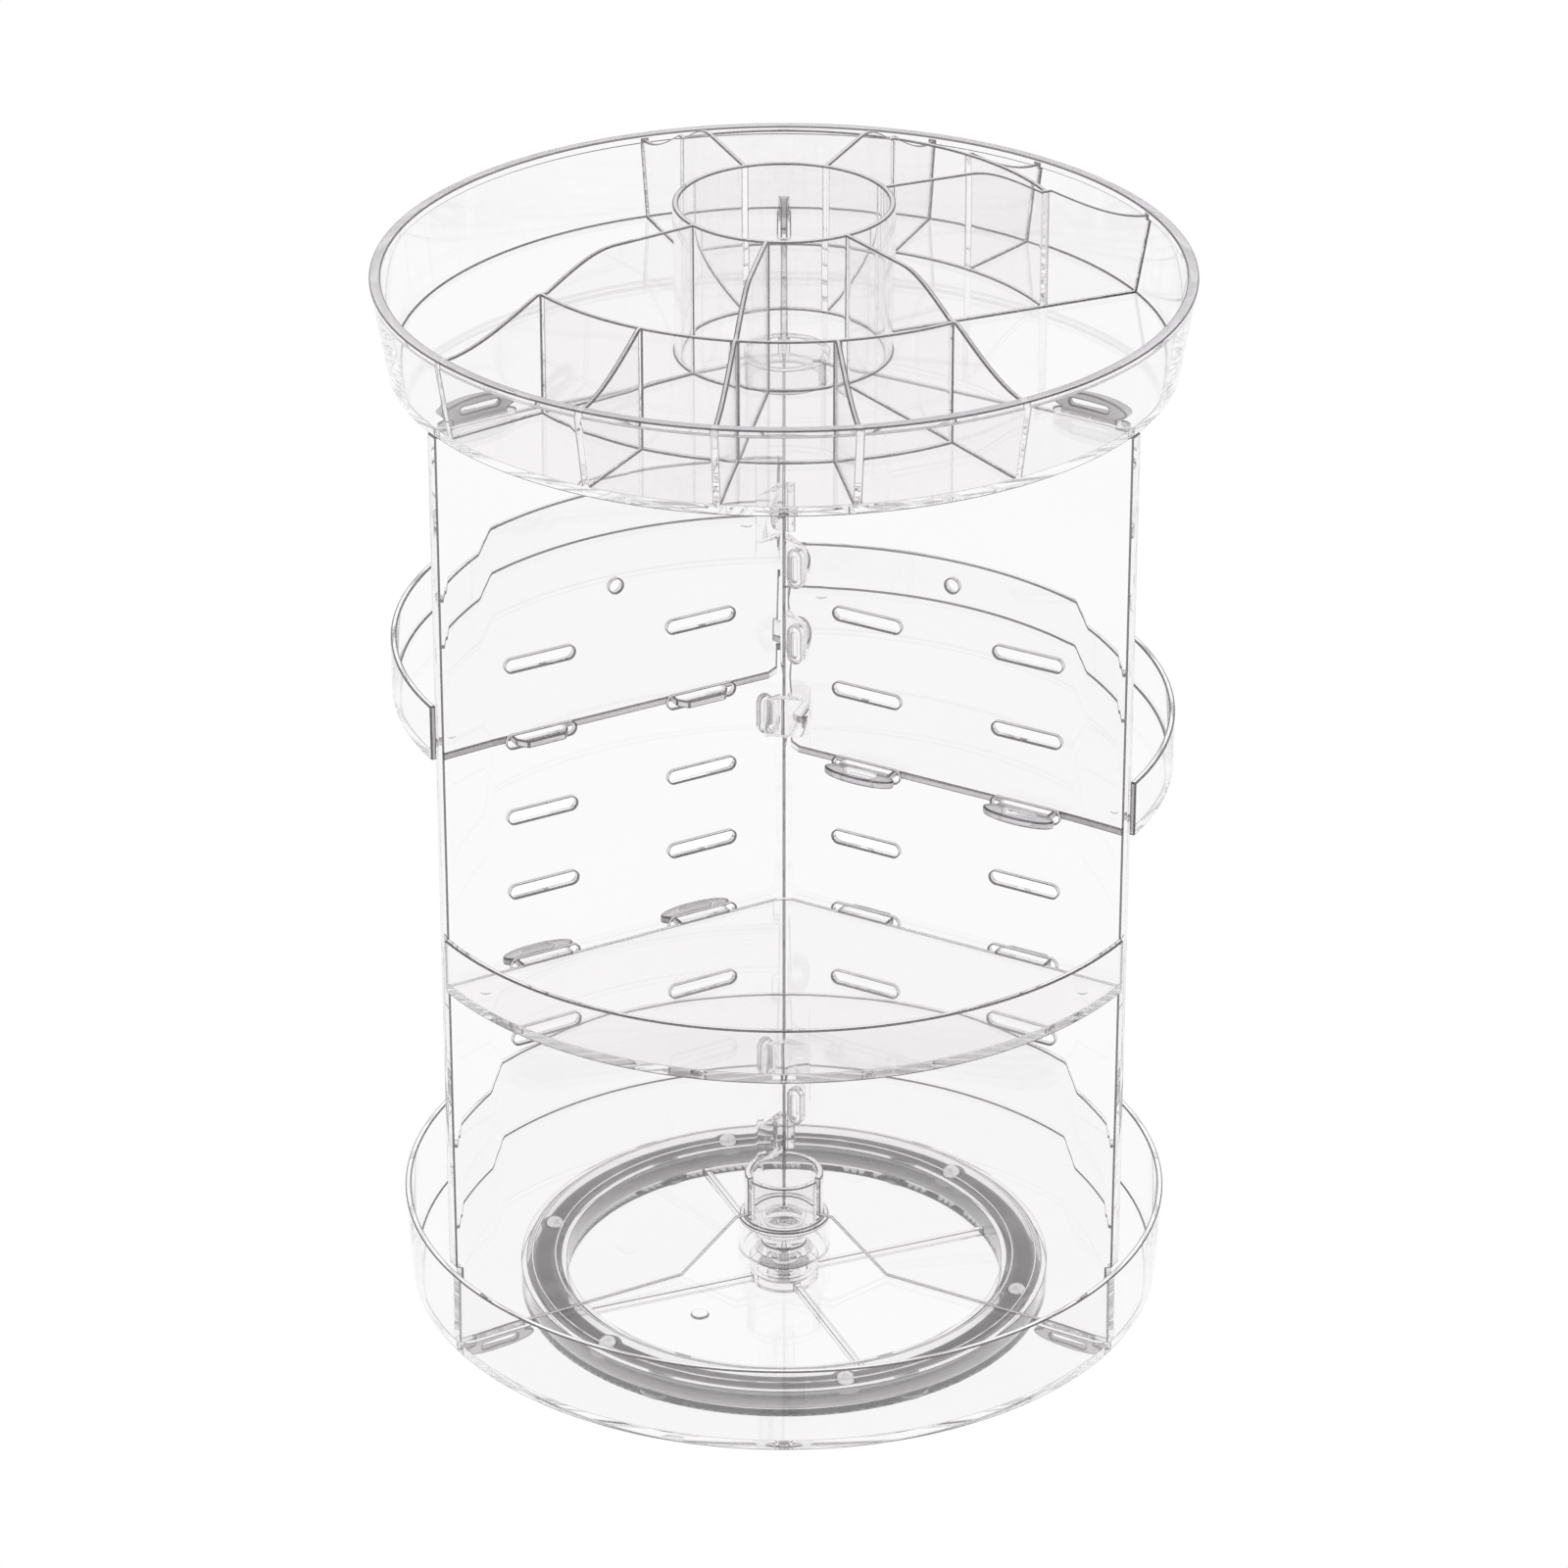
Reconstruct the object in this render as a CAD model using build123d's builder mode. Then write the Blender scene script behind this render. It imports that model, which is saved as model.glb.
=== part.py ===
"""Rotating tiered organiser: a clear carousel of trays and panels on a ball-bearing turntable.

Millimetres, +Z up, origin on the table under the axis. The open front compartment faces -Y.
"""

import os
from math import cos, radians, sin, sqrt

from build123d import *

# Fits and clearances
RUN_FIT = 0.05  # between balls and tracks, and between pivot and bore
LOOSE_FIT = 0.3  # between pieces that are pushed together by hand
SEAT_GAP = 0.2  # between a snap head and the face behind it

# Foot ring that stands on the table
FOOT_WALL = 1.8
FOOT_FLOOR = 2.0
FOOT_HUB_R = 10.5
FOOT_CLEARANCE = 1.4  # from the foot's walls up to the base tray
SPOKE_COUNT = 4
SPOKE_W = 3.0
SPOKE_H = 3.0
SPOKE_AZIMUTH = 22.0

# Rubber pads let into the underside of the foot ring
PAD_COUNT = 6
PAD_R = 5.0
PAD_H = 2.5
PAD_SEAT = 0.5

# Ball bearing
BALL_COUNT = 6
BALL_R = 3.0
BALL_PITCH_R = 74.0
BALL_AZIMUTH = 44.3
POCKET_FIT = 0.15
CAGE_W = 9.0
CAGE_T = 2.8
CAGE_CLEARANCE = 0.7  # from the cage to the walls of the foot ring's channel
RACE_T = 1.0
TRACK_W = 7.0
TRACK_T = 0.9

# Pivot under the hub
PIVOT_R = 5.0
WASHER_RECESS = 3.0  # depth of the recess under the foot ring
WASHER_R = 7.5
WASHER_T = 1.0
SCREW_R = 1.75
SCREW_L = 11.0
SCREW_HEAD_R = 3.5
SCREW_HEAD_H = 2.2
DRIVE_W = 1.0
DRIVE_L = 4.4
DRIVE_DEPTH = 1.2

# Base tray
BASE_R_BOTTOM = 113.6
BASE_R_TOP = 115.3
BASE_H = 27.7
BASE_FLOOR = 2.5
BASE_WALL = 1.8
GATE_R = 2.6  # moulding mark on the floor
GATE_H = 0.6
GATE_AT = (-25.3, -41.5)

# Hub on the base tray, with a skirt below and a slotted socket for the panels above
HUB_FOOT_R = 9.0
HUB_FOOT_H = 2.5
HUB_NECK_R = 6.7
HUB_NECK_H = 10.5
HUB_SKIRT_R = 14.1
HUB_SKIRT_WALL = 1.5
HUB_DISC_T = 1.5
HUB_SOCKET_R = 12.5
HUB_SOCKET_H = 14.5
HUB_SOCKET_WALL = 2.0

# Upright panels, anticlockwise from the first
PANEL_NAMES = ("panel_front_right", "panel_back", "panel_front_left")
FIRST_PANEL_AZIMUTH = -30.0
PANEL_H = 294.1
PANEL_T = 2.2
PANEL_R = 113.5
PANEL_R_INNER = 2.2
MARGIN_W = 20.0  # the outer margin swells to a round bead
MARGIN_T = 4.4
CORNER_CUT_R = 36.0  # lower inner corner, cut away over the hub
CORNER_CUT_R_TOP = 17.0
CORNER_CUT_H = 14.5
KEY_HOLE_R = 2.0
KEY_HOLE_AT_R = 56.0
KEY_HOLE_H = 235.0

# Slots in the panels
SLOT_L = 22.0
SLOT_H = 3.7
SLOT_COLUMNS = (28.2, 80.9)
SLOT_ROWS = 6
SLOT_PITCH = 24.15
SLOT_TOP_H = 217.7  # first row above the panel's lower edge

# Flat snap loops and tongues that pass the slots
LUG_L = 22.8
LUG_D = 7.4
LUG_T = 3.0
LUG_NECK_L = 17.0
LUG_EYE_L = 12.0
LUG_EYE_W = 2.0
FLOOR_LUG_R = 98.5
TOP_LUG_D = 6.6
BASE_LUG_D = 5.2
TONGUE_L = 3.2
TONGUE_TAPER = 2.4

# Clips that hold neighbouring panels together near the axis, by height above the panel's lower edge
CLIP_HEIGHTS = {
    "panel_back": (229.8, 205.6, 51.5),
    "panel_front_right": (181.5, 65.0),
    "panel_front_left": (243.5, 37.8),
}
CLIP_R = 5.5
CLIP_H = 12.5
CLIP_NECK_H = 10.4
CLIP_NECK_W = 2.8
CLIP_HEAD_W = 5.0
CLIP_HEAD_T = 2.4
CLIP_EYE_H = 8.0
CLIP_EYE_W = 1.6
CLIP_WEDGE_R = 9.0

# Sector trays, each anticlockwise from its panel, by the panel slot row that they hang in
SHELF_ROWS = {"tray_right": 3, "tray_left": 2, "tray_front": 5}
SHELF_R = 114.8
SHELF_R_INNER = 4.0
SHELF_H = 17.0
SHELF_FLOOR = 2.3
SHELF_WALL = 1.8
SHELF_DROP = 1.3  # floor's underside below the slot's middle
STUD_R = 2.4
STUD_H = 0.8
STUD_INSET = 9.0
STUD_SIDE = 12.0

# Top tray
TOP_R_BOTTOM = 113.4
TOP_R_TOP = 118.0
TOP_H = 27.2
TOP_FLOOR = 2.5
TOP_WALL = 2.0
TOP_BEAD_W = 3.4
TOP_BEAD_H = 2.4
CUP_R = 31.7
CUP_WALL = 1.8
CUP_H = 47.4  # above the tray's underside
DIVIDER_T = 1.6
DIVIDER_SHOULDER_R = 58.0
ARC_WALL_R = 82.0
ARC_WALL_H = 38.4  # above the tray's underside
LONG_WALL_AZIMUTHS = (-145.0, -99.6, -55.4, 23.0, 67.2, 111.4)
SHORT_WALL_AZIMUTHS = (-118.6, -79.8, 49.0)
TOP_SOCKET_R = 13.7
TOP_SOCKET_H = 8.0
TOP_SOCKET_WALL = 2.0

# Levels worked out from the sizes above
FOOT_Z = PAD_H - PAD_SEAT
FOOT_FLOOR_Z = FOOT_Z + FOOT_FLOOR
PIVOT_END_Z = FOOT_Z + WASHER_RECESS - 2 * RUN_FIT
RACE_Z = FOOT_FLOOR_Z + RACE_T
BALL_Z = RACE_Z + RUN_FIT + BALL_R
TRACK_Z = BALL_Z + BALL_R + RUN_FIT
BASE_Z = TRACK_Z + TRACK_T
FOOT_TOP_Z = BASE_Z - FOOT_CLEARANCE
DECK_Z = BASE_Z + BASE_FLOOR
HUB_DISC_Z = DECK_Z + HUB_NECK_H
SOCKET_Z = HUB_DISC_Z + HUB_DISC_T
TOP_Z = DECK_Z + PANEL_H
TOP_DECK_Z = TOP_Z + TOP_FLOOR
RIM_Z = TOP_Z + TOP_H

# Radii and gaps worked out from the sizes above
CAGE_R_OUTER = BALL_PITCH_R + CAGE_W / 2
CAGE_R_INNER = BALL_PITCH_R - CAGE_W / 2
CHANNEL_R_OUTER = CAGE_R_OUTER + CAGE_CLEARANCE
CHANNEL_R_INNER = CAGE_R_INNER - CAGE_CLEARANCE
FOOT_R = CHANNEL_R_OUTER + FOOT_WALL
PANEL_GAP = PANEL_T + 2 * LOOSE_FIT
SHELF_SIDE = MARGIN_T / 2 + LOOSE_FIT

# Directions worked out from the counts above
PANEL_TURN = 360 / len(PANEL_NAMES)
PANEL_AZIMUTHS = {name: FIRST_PANEL_AZIMUTH + i * PANEL_TURN for i, name in enumerate(PANEL_NAMES)}
SHELF_AZIMUTHS = {name: FIRST_PANEL_AZIMUTH + (i + 0.5) * PANEL_TURN for i, name in enumerate(SHELF_ROWS)}
ARC_WALL_SPANS = (
    (LONG_WALL_AZIMUTHS[0], LONG_WALL_AZIMUTHS[2]),
    (LONG_WALL_AZIMUTHS[3], LONG_WALL_AZIMUTHS[5]),
)


def level(azimuth, z):
    """A level plane at height z, with its x axis pointing outwards at the azimuth."""
    a = radians(azimuth)
    return Plane(origin=(0, 0, z), x_dir=(cos(a), sin(a), 0), z_dir=(0, 0, 1))


def upright(azimuth):
    """A vertical plane through the axis: x is the radius at the azimuth, y is the height."""
    a = radians(azimuth)
    return Plane(origin=(0, 0, 0), x_dir=(cos(a), sin(a), 0), z_dir=(sin(a), -cos(a), 0))


def row_z(row):
    """Height of the middle of a slot row, where row 1 is the highest."""
    return DECK_Z + SLOT_TOP_H - (row - 1) * SLOT_PITCH


def snap_loop(edge, reach, depth):
    """A flat loop on an edge: a neck that passes a slot, then a wider oval with an eye in it."""
    middle = reach + depth / 2
    with BuildSketch(edge) as outline:
        with Locations((0, middle / 2)):
            Rectangle(LUG_NECK_L, middle)
        with Locations((0, middle)):
            Ellipse(LUG_L / 2, depth / 2)
            SlotOverall(LUG_EYE_L, LUG_EYE_W, mode=Mode.SUBTRACT)
    extrude(outline.sketch, amount=LUG_T / 2, both=True)


def floor_slots(z, depth):
    """Slots through a tray's floor for the loops on the ends of the panels."""
    for azimuth in PANEL_AZIMUTHS.values():
        with BuildSketch(level(azimuth, z)) as slot:
            with Locations((FLOOR_LUG_R, 0)):
                SlotOverall(SLOT_L, SLOT_H)
        extrude(slot.sketch, amount=depth, mode=Mode.SUBTRACT)


def socket_slots(radius, wall, z, height):
    """Slots in a round socket's wall for the three panels."""
    for azimuth in PANEL_AZIMUTHS.values():
        with BuildSketch(level(azimuth, z)) as slot:
            with Locations((radius - wall / 2, 0)):
                Rectangle(2 * wall, PANEL_GAP)
        extrude(slot.sketch, amount=height, mode=Mode.SUBTRACT)


# Foot ring: a channel for the bearing, joined to the pivot bearing in the middle by spokes
with BuildPart() as foot_ring:
    with BuildSketch(Plane.XY.offset(FOOT_Z)):
        Circle(FOOT_R)
        Circle(CHANNEL_R_INNER - FOOT_WALL, mode=Mode.SUBTRACT)
    extrude(amount=FOOT_FLOOR)
    with BuildSketch(Plane.XY.offset(FOOT_FLOOR_Z)):
        Circle(FOOT_R)
        Circle(CHANNEL_R_OUTER, mode=Mode.SUBTRACT)
        Circle(CHANNEL_R_INNER)
        Circle(CHANNEL_R_INNER - FOOT_WALL, mode=Mode.SUBTRACT)
    extrude(amount=FOOT_TOP_Z - FOOT_FLOOR_Z)
    spoke_end = CHANNEL_R_INNER - FOOT_WALL / 2
    for spoke in range(SPOKE_COUNT):
        with BuildSketch(level(SPOKE_AZIMUTH + spoke * 360 / SPOKE_COUNT, FOOT_Z)):
            with Locations((spoke_end / 2, 0)):
                Rectangle(spoke_end, SPOKE_W)
        extrude(amount=SPOKE_H)
    with BuildSketch(Plane.XY.offset(FOOT_Z)):
        Circle(FOOT_HUB_R)
    extrude(amount=FOOT_TOP_Z - FOOT_Z)
    with BuildSketch(Plane.XY.offset(FOOT_Z)):
        Circle(PIVOT_R + RUN_FIT)
    extrude(amount=FOOT_TOP_Z - FOOT_Z, mode=Mode.SUBTRACT)
    with BuildSketch(Plane.XY.offset(FOOT_Z)):
        Circle(WASHER_R + LOOSE_FIT)
    extrude(amount=WASHER_RECESS, mode=Mode.SUBTRACT)
    with BuildSketch(Plane.XY.offset(FOOT_Z)):
        with PolarLocations((CHANNEL_R_OUTER + CHANNEL_R_INNER) / 2, PAD_COUNT):
            Circle(PAD_R + RUN_FIT)
    extrude(amount=PAD_SEAT, mode=Mode.SUBTRACT)
foot_ring.part.label = "foot_ring"

# Rubber pads under the foot ring
with BuildPart() as rubber_feet:
    with BuildSketch():
        with PolarLocations((CHANNEL_R_OUTER + CHANNEL_R_INNER) / 2, PAD_COUNT):
            Circle(PAD_R)
    extrude(amount=PAD_H)
rubber_feet.part.label = "rubber_feet"

# Lower race: a flat ring in the channel that the balls roll on
with BuildPart() as lower_race:
    with BuildSketch(Plane.XY.offset(FOOT_FLOOR_Z)):
        Circle(CHANNEL_R_OUTER - LOOSE_FIT)
        Circle(CHANNEL_R_INNER + LOOSE_FIT, mode=Mode.SUBTRACT)
    extrude(amount=RACE_T)
lower_race.part.label = "lower_race"

# Cage: a ring with a pocket for each ball
with BuildPart() as ball_cage:
    with BuildSketch(Plane.XY.offset(BALL_Z - CAGE_T / 2)):
        Circle(CAGE_R_OUTER)
        Circle(CAGE_R_INNER, mode=Mode.SUBTRACT)
        with PolarLocations(BALL_PITCH_R, BALL_COUNT, start_angle=BALL_AZIMUTH):
            Circle(BALL_R + POCKET_FIT, mode=Mode.SUBTRACT)
    extrude(amount=CAGE_T)
ball_cage.part.label = "ball_cage"

# Bearing balls
with BuildPart() as bearing_balls:
    with Locations((0, 0, BALL_Z)):
        with PolarLocations(BALL_PITCH_R, BALL_COUNT, start_angle=BALL_AZIMUTH):
            Sphere(BALL_R)
bearing_balls.part.label = "bearing_balls"

# Base tray: floor, sloping rim and the upper track for the balls
with BuildPart() as base_tray:
    with BuildSketch(Plane.XZ):
        with BuildLine():
            Polyline(
                (PIVOT_R + RUN_FIT, BASE_Z),
                (BASE_R_BOTTOM, BASE_Z),
                (BASE_R_TOP, BASE_Z + BASE_H),
                (BASE_R_TOP - BASE_WALL, BASE_Z + BASE_H),
                (BASE_R_BOTTOM - BASE_WALL, DECK_Z),
                (PIVOT_R + RUN_FIT, DECK_Z),
                close=True,
            )
        make_face()
    revolve(axis=Axis.Z)
    with BuildSketch(Plane.XY.offset(TRACK_Z)):
        Circle(BALL_PITCH_R + TRACK_W / 2)
        Circle(BALL_PITCH_R - TRACK_W / 2, mode=Mode.SUBTRACT)
    extrude(amount=TRACK_T)
    with BuildSketch(Plane.XY.offset(DECK_Z)):
        with Locations(GATE_AT):
            Circle(GATE_R)
    extrude(amount=GATE_H)
    floor_slots(BASE_Z, BASE_FLOOR)
base_tray.part.label = "base_tray"

# Hub: a pivot below the base tray's floor, and a neck, skirt, disc and slotted socket above it
with BuildPart() as centre_hub:
    with BuildSketch(Plane.XZ):
        with BuildLine():
            Polyline(
                (0, PIVOT_END_Z),
                (PIVOT_R, PIVOT_END_Z),
                (PIVOT_R, DECK_Z),
                (HUB_FOOT_R, DECK_Z),
                (HUB_NECK_R, DECK_Z + HUB_FOOT_H),
                (HUB_NECK_R, HUB_DISC_Z),
                (HUB_SKIRT_R - HUB_SKIRT_WALL, HUB_DISC_Z),
                (HUB_SKIRT_R - HUB_SKIRT_WALL, DECK_Z),
                (HUB_SKIRT_R, DECK_Z),
                (HUB_SKIRT_R, SOCKET_Z),
                (HUB_SOCKET_R, SOCKET_Z),
                (HUB_SOCKET_R, SOCKET_Z + HUB_SOCKET_H),
                (HUB_SOCKET_R - HUB_SOCKET_WALL, SOCKET_Z + HUB_SOCKET_H),
                (HUB_SOCKET_R - HUB_SOCKET_WALL, SOCKET_Z),
                (0, SOCKET_Z),
                close=True,
            )
        make_face()
    revolve(axis=Axis.Z)
    socket_slots(HUB_SOCKET_R, HUB_SOCKET_WALL, SOCKET_Z, HUB_SOCKET_H)
    with BuildSketch(Plane.XY.offset(PIVOT_END_Z)):
        Circle(SCREW_R + RUN_FIT)
    extrude(amount=SCREW_L, mode=Mode.SUBTRACT)
centre_hub.part.label = "centre_hub"

# Washer under the pivot, wider than the foot ring's bore
with BuildPart() as pivot_washer:
    with BuildSketch(Plane.XY.offset(PIVOT_END_Z - WASHER_T)):
        Circle(WASHER_R)
        Circle(SCREW_R + RUN_FIT, mode=Mode.SUBTRACT)
    extrude(amount=WASHER_T)
pivot_washer.part.label = "pivot_washer"

# Screw up into the hub, with a cross recess in its head
with BuildPart() as pivot_screw:
    head_z = PIVOT_END_Z - WASHER_T - SCREW_HEAD_H
    with BuildSketch(Plane.XY.offset(head_z)):
        Circle(SCREW_HEAD_R)
    extrude(amount=SCREW_HEAD_H)
    with BuildSketch(Plane.XY.offset(head_z + SCREW_HEAD_H)):
        Circle(SCREW_R)
    extrude(amount=SCREW_L)
    with BuildSketch(Plane.XY.offset(head_z)):
        Rectangle(DRIVE_L, DRIVE_W)
        Rectangle(DRIVE_W, DRIVE_L)
    extrude(amount=DRIVE_DEPTH, mode=Mode.SUBTRACT)
pivot_screw.part.label = "pivot_screw"


def clip(azimuth, z):
    """A wedge in the corner beside the next panel clockwise, with a snap head through that panel."""
    face = PANEL_T / 2
    turn = radians(-PANEL_TURN)
    along = Vector(cos(turn), sin(turn))
    normal = Vector(-along.Y, along.X)
    near = along * (CLIP_R - CLIP_NECK_W / 2) + normal * (face + RUN_FIT)
    far = along * (CLIP_R + CLIP_NECK_W / 2) + normal * (face + RUN_FIT)
    with BuildSketch(level(azimuth, z - CLIP_H / 2)) as wedge:
        with BuildLine():
            Polyline((PANEL_R_INNER, -face), (CLIP_WEDGE_R, -face), (far.X, far.Y), (near.X, near.Y), close=True)
        make_face()
    extrude(wedge.sketch, amount=CLIP_H)
    a = radians(azimuth - PANEL_TURN)
    outwards = Vector(cos(a), sin(a))
    through = Vector(sin(a), -cos(a))
    seat = outwards * CLIP_R - through * (face + RUN_FIT) + Vector(0, 0, z)
    neck_face = Plane(origin=seat, x_dir=outwards, z_dir=through)
    neck_l = PANEL_T + RUN_FIT + SEAT_GAP
    with BuildSketch(neck_face) as neck:
        SlotOverall(CLIP_NECK_H, CLIP_NECK_W, rotation=90)
    extrude(neck.sketch, amount=neck_l)
    with BuildSketch(neck_face.offset(neck_l)) as head:
        SlotOverall(CLIP_H, CLIP_HEAD_W, rotation=90)
        SlotOverall(CLIP_EYE_H, CLIP_EYE_W, rotation=90, mode=Mode.SUBTRACT)
    extrude(head.sketch, amount=CLIP_HEAD_T)


def panel(name):
    """An upright panel: a plate with a swollen outer margin, slots, end lugs and clips."""
    azimuth = PANEL_AZIMUTHS[name]
    plane = upright(azimuth)
    neighbour = PANEL_NAMES[(PANEL_NAMES.index(name) + 1) % len(PANEL_NAMES)]
    half = PANEL_T / 2
    bead = MARGIN_T / 2
    margin_r = PANEL_R - MARGIN_W
    bead_r = PANEL_R - bead
    with BuildPart() as plate:
        with BuildSketch(level(azimuth, DECK_Z)):
            with BuildLine():
                Line((PANEL_R_INNER, half), (margin_r, half))
                Spline((margin_r, half), (bead_r, bead), tangents=[(1, 0), (1, 0)])
                ThreePointArc((bead_r, bead), (PANEL_R, 0), (bead_r, -bead))
                Spline((bead_r, -bead), (margin_r, -half), tangents=[(-1, 0), (-1, 0)])
                Line((margin_r, -half), (PANEL_R_INNER, -half))
                Line((PANEL_R_INNER, -half), (PANEL_R_INNER, half))
            make_face()
        extrude(amount=PANEL_H)
        with BuildSketch(plane):
            with BuildLine():
                rim_r = BASE_R_BOTTOM - BASE_WALL - LOOSE_FIT
                Polyline(
                    (rim_r, DECK_Z),
                    (rim_r, BASE_Z + BASE_H + LOOSE_FIT),
                    (PANEL_R + bead, BASE_Z + BASE_H + bead),
                    (PANEL_R + bead, DECK_Z),
                    close=True,
                )
            make_face()
            with BuildLine():
                Polyline(
                    (0, DECK_Z),
                    (CORNER_CUT_R, DECK_Z),
                    (CORNER_CUT_R_TOP, DECK_Z + CORNER_CUT_H),
                    (0, DECK_Z + CORNER_CUT_H),
                    close=True,
                )
            make_face()
            for row in range(1, SLOT_ROWS + 1):
                with Locations(*[(column, row_z(row)) for column in SLOT_COLUMNS]):
                    SlotOverall(SLOT_L, SLOT_H)
            with Locations((KEY_HOLE_AT_R, DECK_Z + KEY_HOLE_H)):
                Circle(KEY_HOLE_R)
            with Locations(*[(CLIP_R, DECK_Z + h) for h in CLIP_HEIGHTS[neighbour]]):
                SlotOverall(CLIP_NECK_H + 2 * LOOSE_FIT, CLIP_NECK_W + 2 * LOOSE_FIT, rotation=90)
        extrude(amount=MARGIN_T, both=True, mode=Mode.SUBTRACT)
        outwards = plane.x_dir
        top_seat = plane.from_local_coords((FLOOR_LUG_R, TOP_Z, 0))
        snap_loop(Plane(top_seat, x_dir=outwards, z_dir=plane.z_dir), TOP_FLOOR + SEAT_GAP, TOP_LUG_D)
        base_seat = plane.from_local_coords((FLOOR_LUG_R, DECK_Z, 0))
        snap_loop(Plane(base_seat, x_dir=outwards * -1, z_dir=plane.z_dir), BASE_FLOOR + SEAT_GAP, BASE_LUG_D)
        for height in CLIP_HEIGHTS[name]:
            clip(azimuth, DECK_Z + height)
    plate.part.label = name
    return plate.part


def tongue(edge, reach):
    """A flat tapered tongue on an edge that passes a slot."""
    half = LUG_NECK_L / 2
    with BuildSketch(edge) as outline:
        with BuildLine():
            Polyline(
                (-half, 0),
                (half, 0),
                (half, reach),
                (half - TONGUE_TAPER, reach + TONGUE_L),
                (TONGUE_TAPER - half, reach + TONGUE_L),
                (-half, reach),
                close=True,
            )
        make_face()
    extrude(outline.sketch, amount=LUG_T / 2, both=True)


def shelf(name):
    """A sector tray between two panels, rimmed on its outer arc and hung in their slots."""
    middle = SHELF_AZIMUTHS[name]
    slot_z = row_z(SHELF_ROWS[name])
    hang_z = slot_z - SLOT_H / 2 + LUG_T / 2
    floor_z = slot_z - SHELF_DROP
    half_turn = radians(PANEL_TURN / 2)
    side_dir = Vector(cos(half_turn), sin(half_turn))
    side_in = Vector(sin(half_turn), -cos(half_turn)) * SHELF_SIDE
    inner = side_dir * SHELF_R_INNER + side_in
    outer = side_dir * sqrt(SHELF_R**2 - SHELF_SIDE**2) + side_in
    reach = SHELF_SIDE + PANEL_T / 2 + SEAT_GAP
    with BuildPart() as sector:
        for height, hollow in ((SHELF_FLOOR, False), (SHELF_H, True)):
            with BuildSketch(level(middle, floor_z)):
                with BuildLine():
                    Line((inner.X, -inner.Y), (outer.X, -outer.Y))
                    ThreePointArc((outer.X, -outer.Y), (SHELF_R, 0), (outer.X, outer.Y))
                    Line((outer.X, outer.Y), (inner.X, inner.Y))
                    Line((inner.X, inner.Y), (inner.X, -inner.Y))
                make_face()
                if hollow:
                    Circle(SHELF_R - SHELF_WALL, mode=Mode.SUBTRACT)
            extrude(amount=height)
        stud = side_dir * (SHELF_R - STUD_INSET) + side_in.normalized() * STUD_SIDE
        with BuildSketch(level(middle, floor_z + SHELF_FLOOR)):
            with Locations((stud.X, stud.Y), (stud.X, -stud.Y)):
                Circle(STUD_R)
        extrude(amount=STUD_H)
        for column in SLOT_COLUMNS:
            a = radians(middle - PANEL_TURN / 2)
            radial = Vector(cos(a), sin(a))
            inwards = Vector(-sin(a), cos(a))
            seat = radial * column + inwards * SHELF_SIDE + Vector(0, 0, hang_z)
            snap_loop(Plane(seat, x_dir=radial * -1, z_dir=(0, 0, 1)), reach, LUG_D)
            a = radians(middle + PANEL_TURN / 2)
            radial = Vector(cos(a), sin(a))
            inwards = Vector(sin(a), -cos(a))
            seat = radial * column + inwards * SHELF_SIDE + Vector(0, 0, hang_z)
            tongue(Plane(seat, x_dir=radial, z_dir=(0, 0, 1)), reach)
    sector.part.label = name
    return sector.part


def divider(azimuth, start_r, start_z, shoulder):
    """A radial wall of the top tray, whose top sweeps down in an S from the cup to the rim."""
    rim_end = (TOP_R_TOP - TOP_BEAD_W / 2, RIM_Z - TOP_BEAD_H / 2)
    sweep_start = (DIVIDER_SHOULDER_R, start_z) if shoulder else (start_r, start_z)
    fall = (start_z - RIM_Z) / (TOP_R_TOP - start_r)
    with BuildSketch(upright(azimuth)) as wall:
        with BuildLine():
            if shoulder:
                Line((start_r, start_z), sweep_start)
                middle = (ARC_WALL_R, TOP_Z + ARC_WALL_H)
                Spline(sweep_start, middle, rim_end, tangents=[(1, 0), (1, 0)])
            else:
                Spline(sweep_start, rim_end, tangents=[(1, -2 * fall), (1, 0)])
            Polyline(rim_end, (TOP_R_BOTTOM - TOP_WALL / 2, TOP_DECK_Z), (start_r, TOP_DECK_Z), (start_r, start_z))
        make_face()
    extrude(wall.sketch, amount=DIVIDER_T / 2, both=True)


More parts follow.
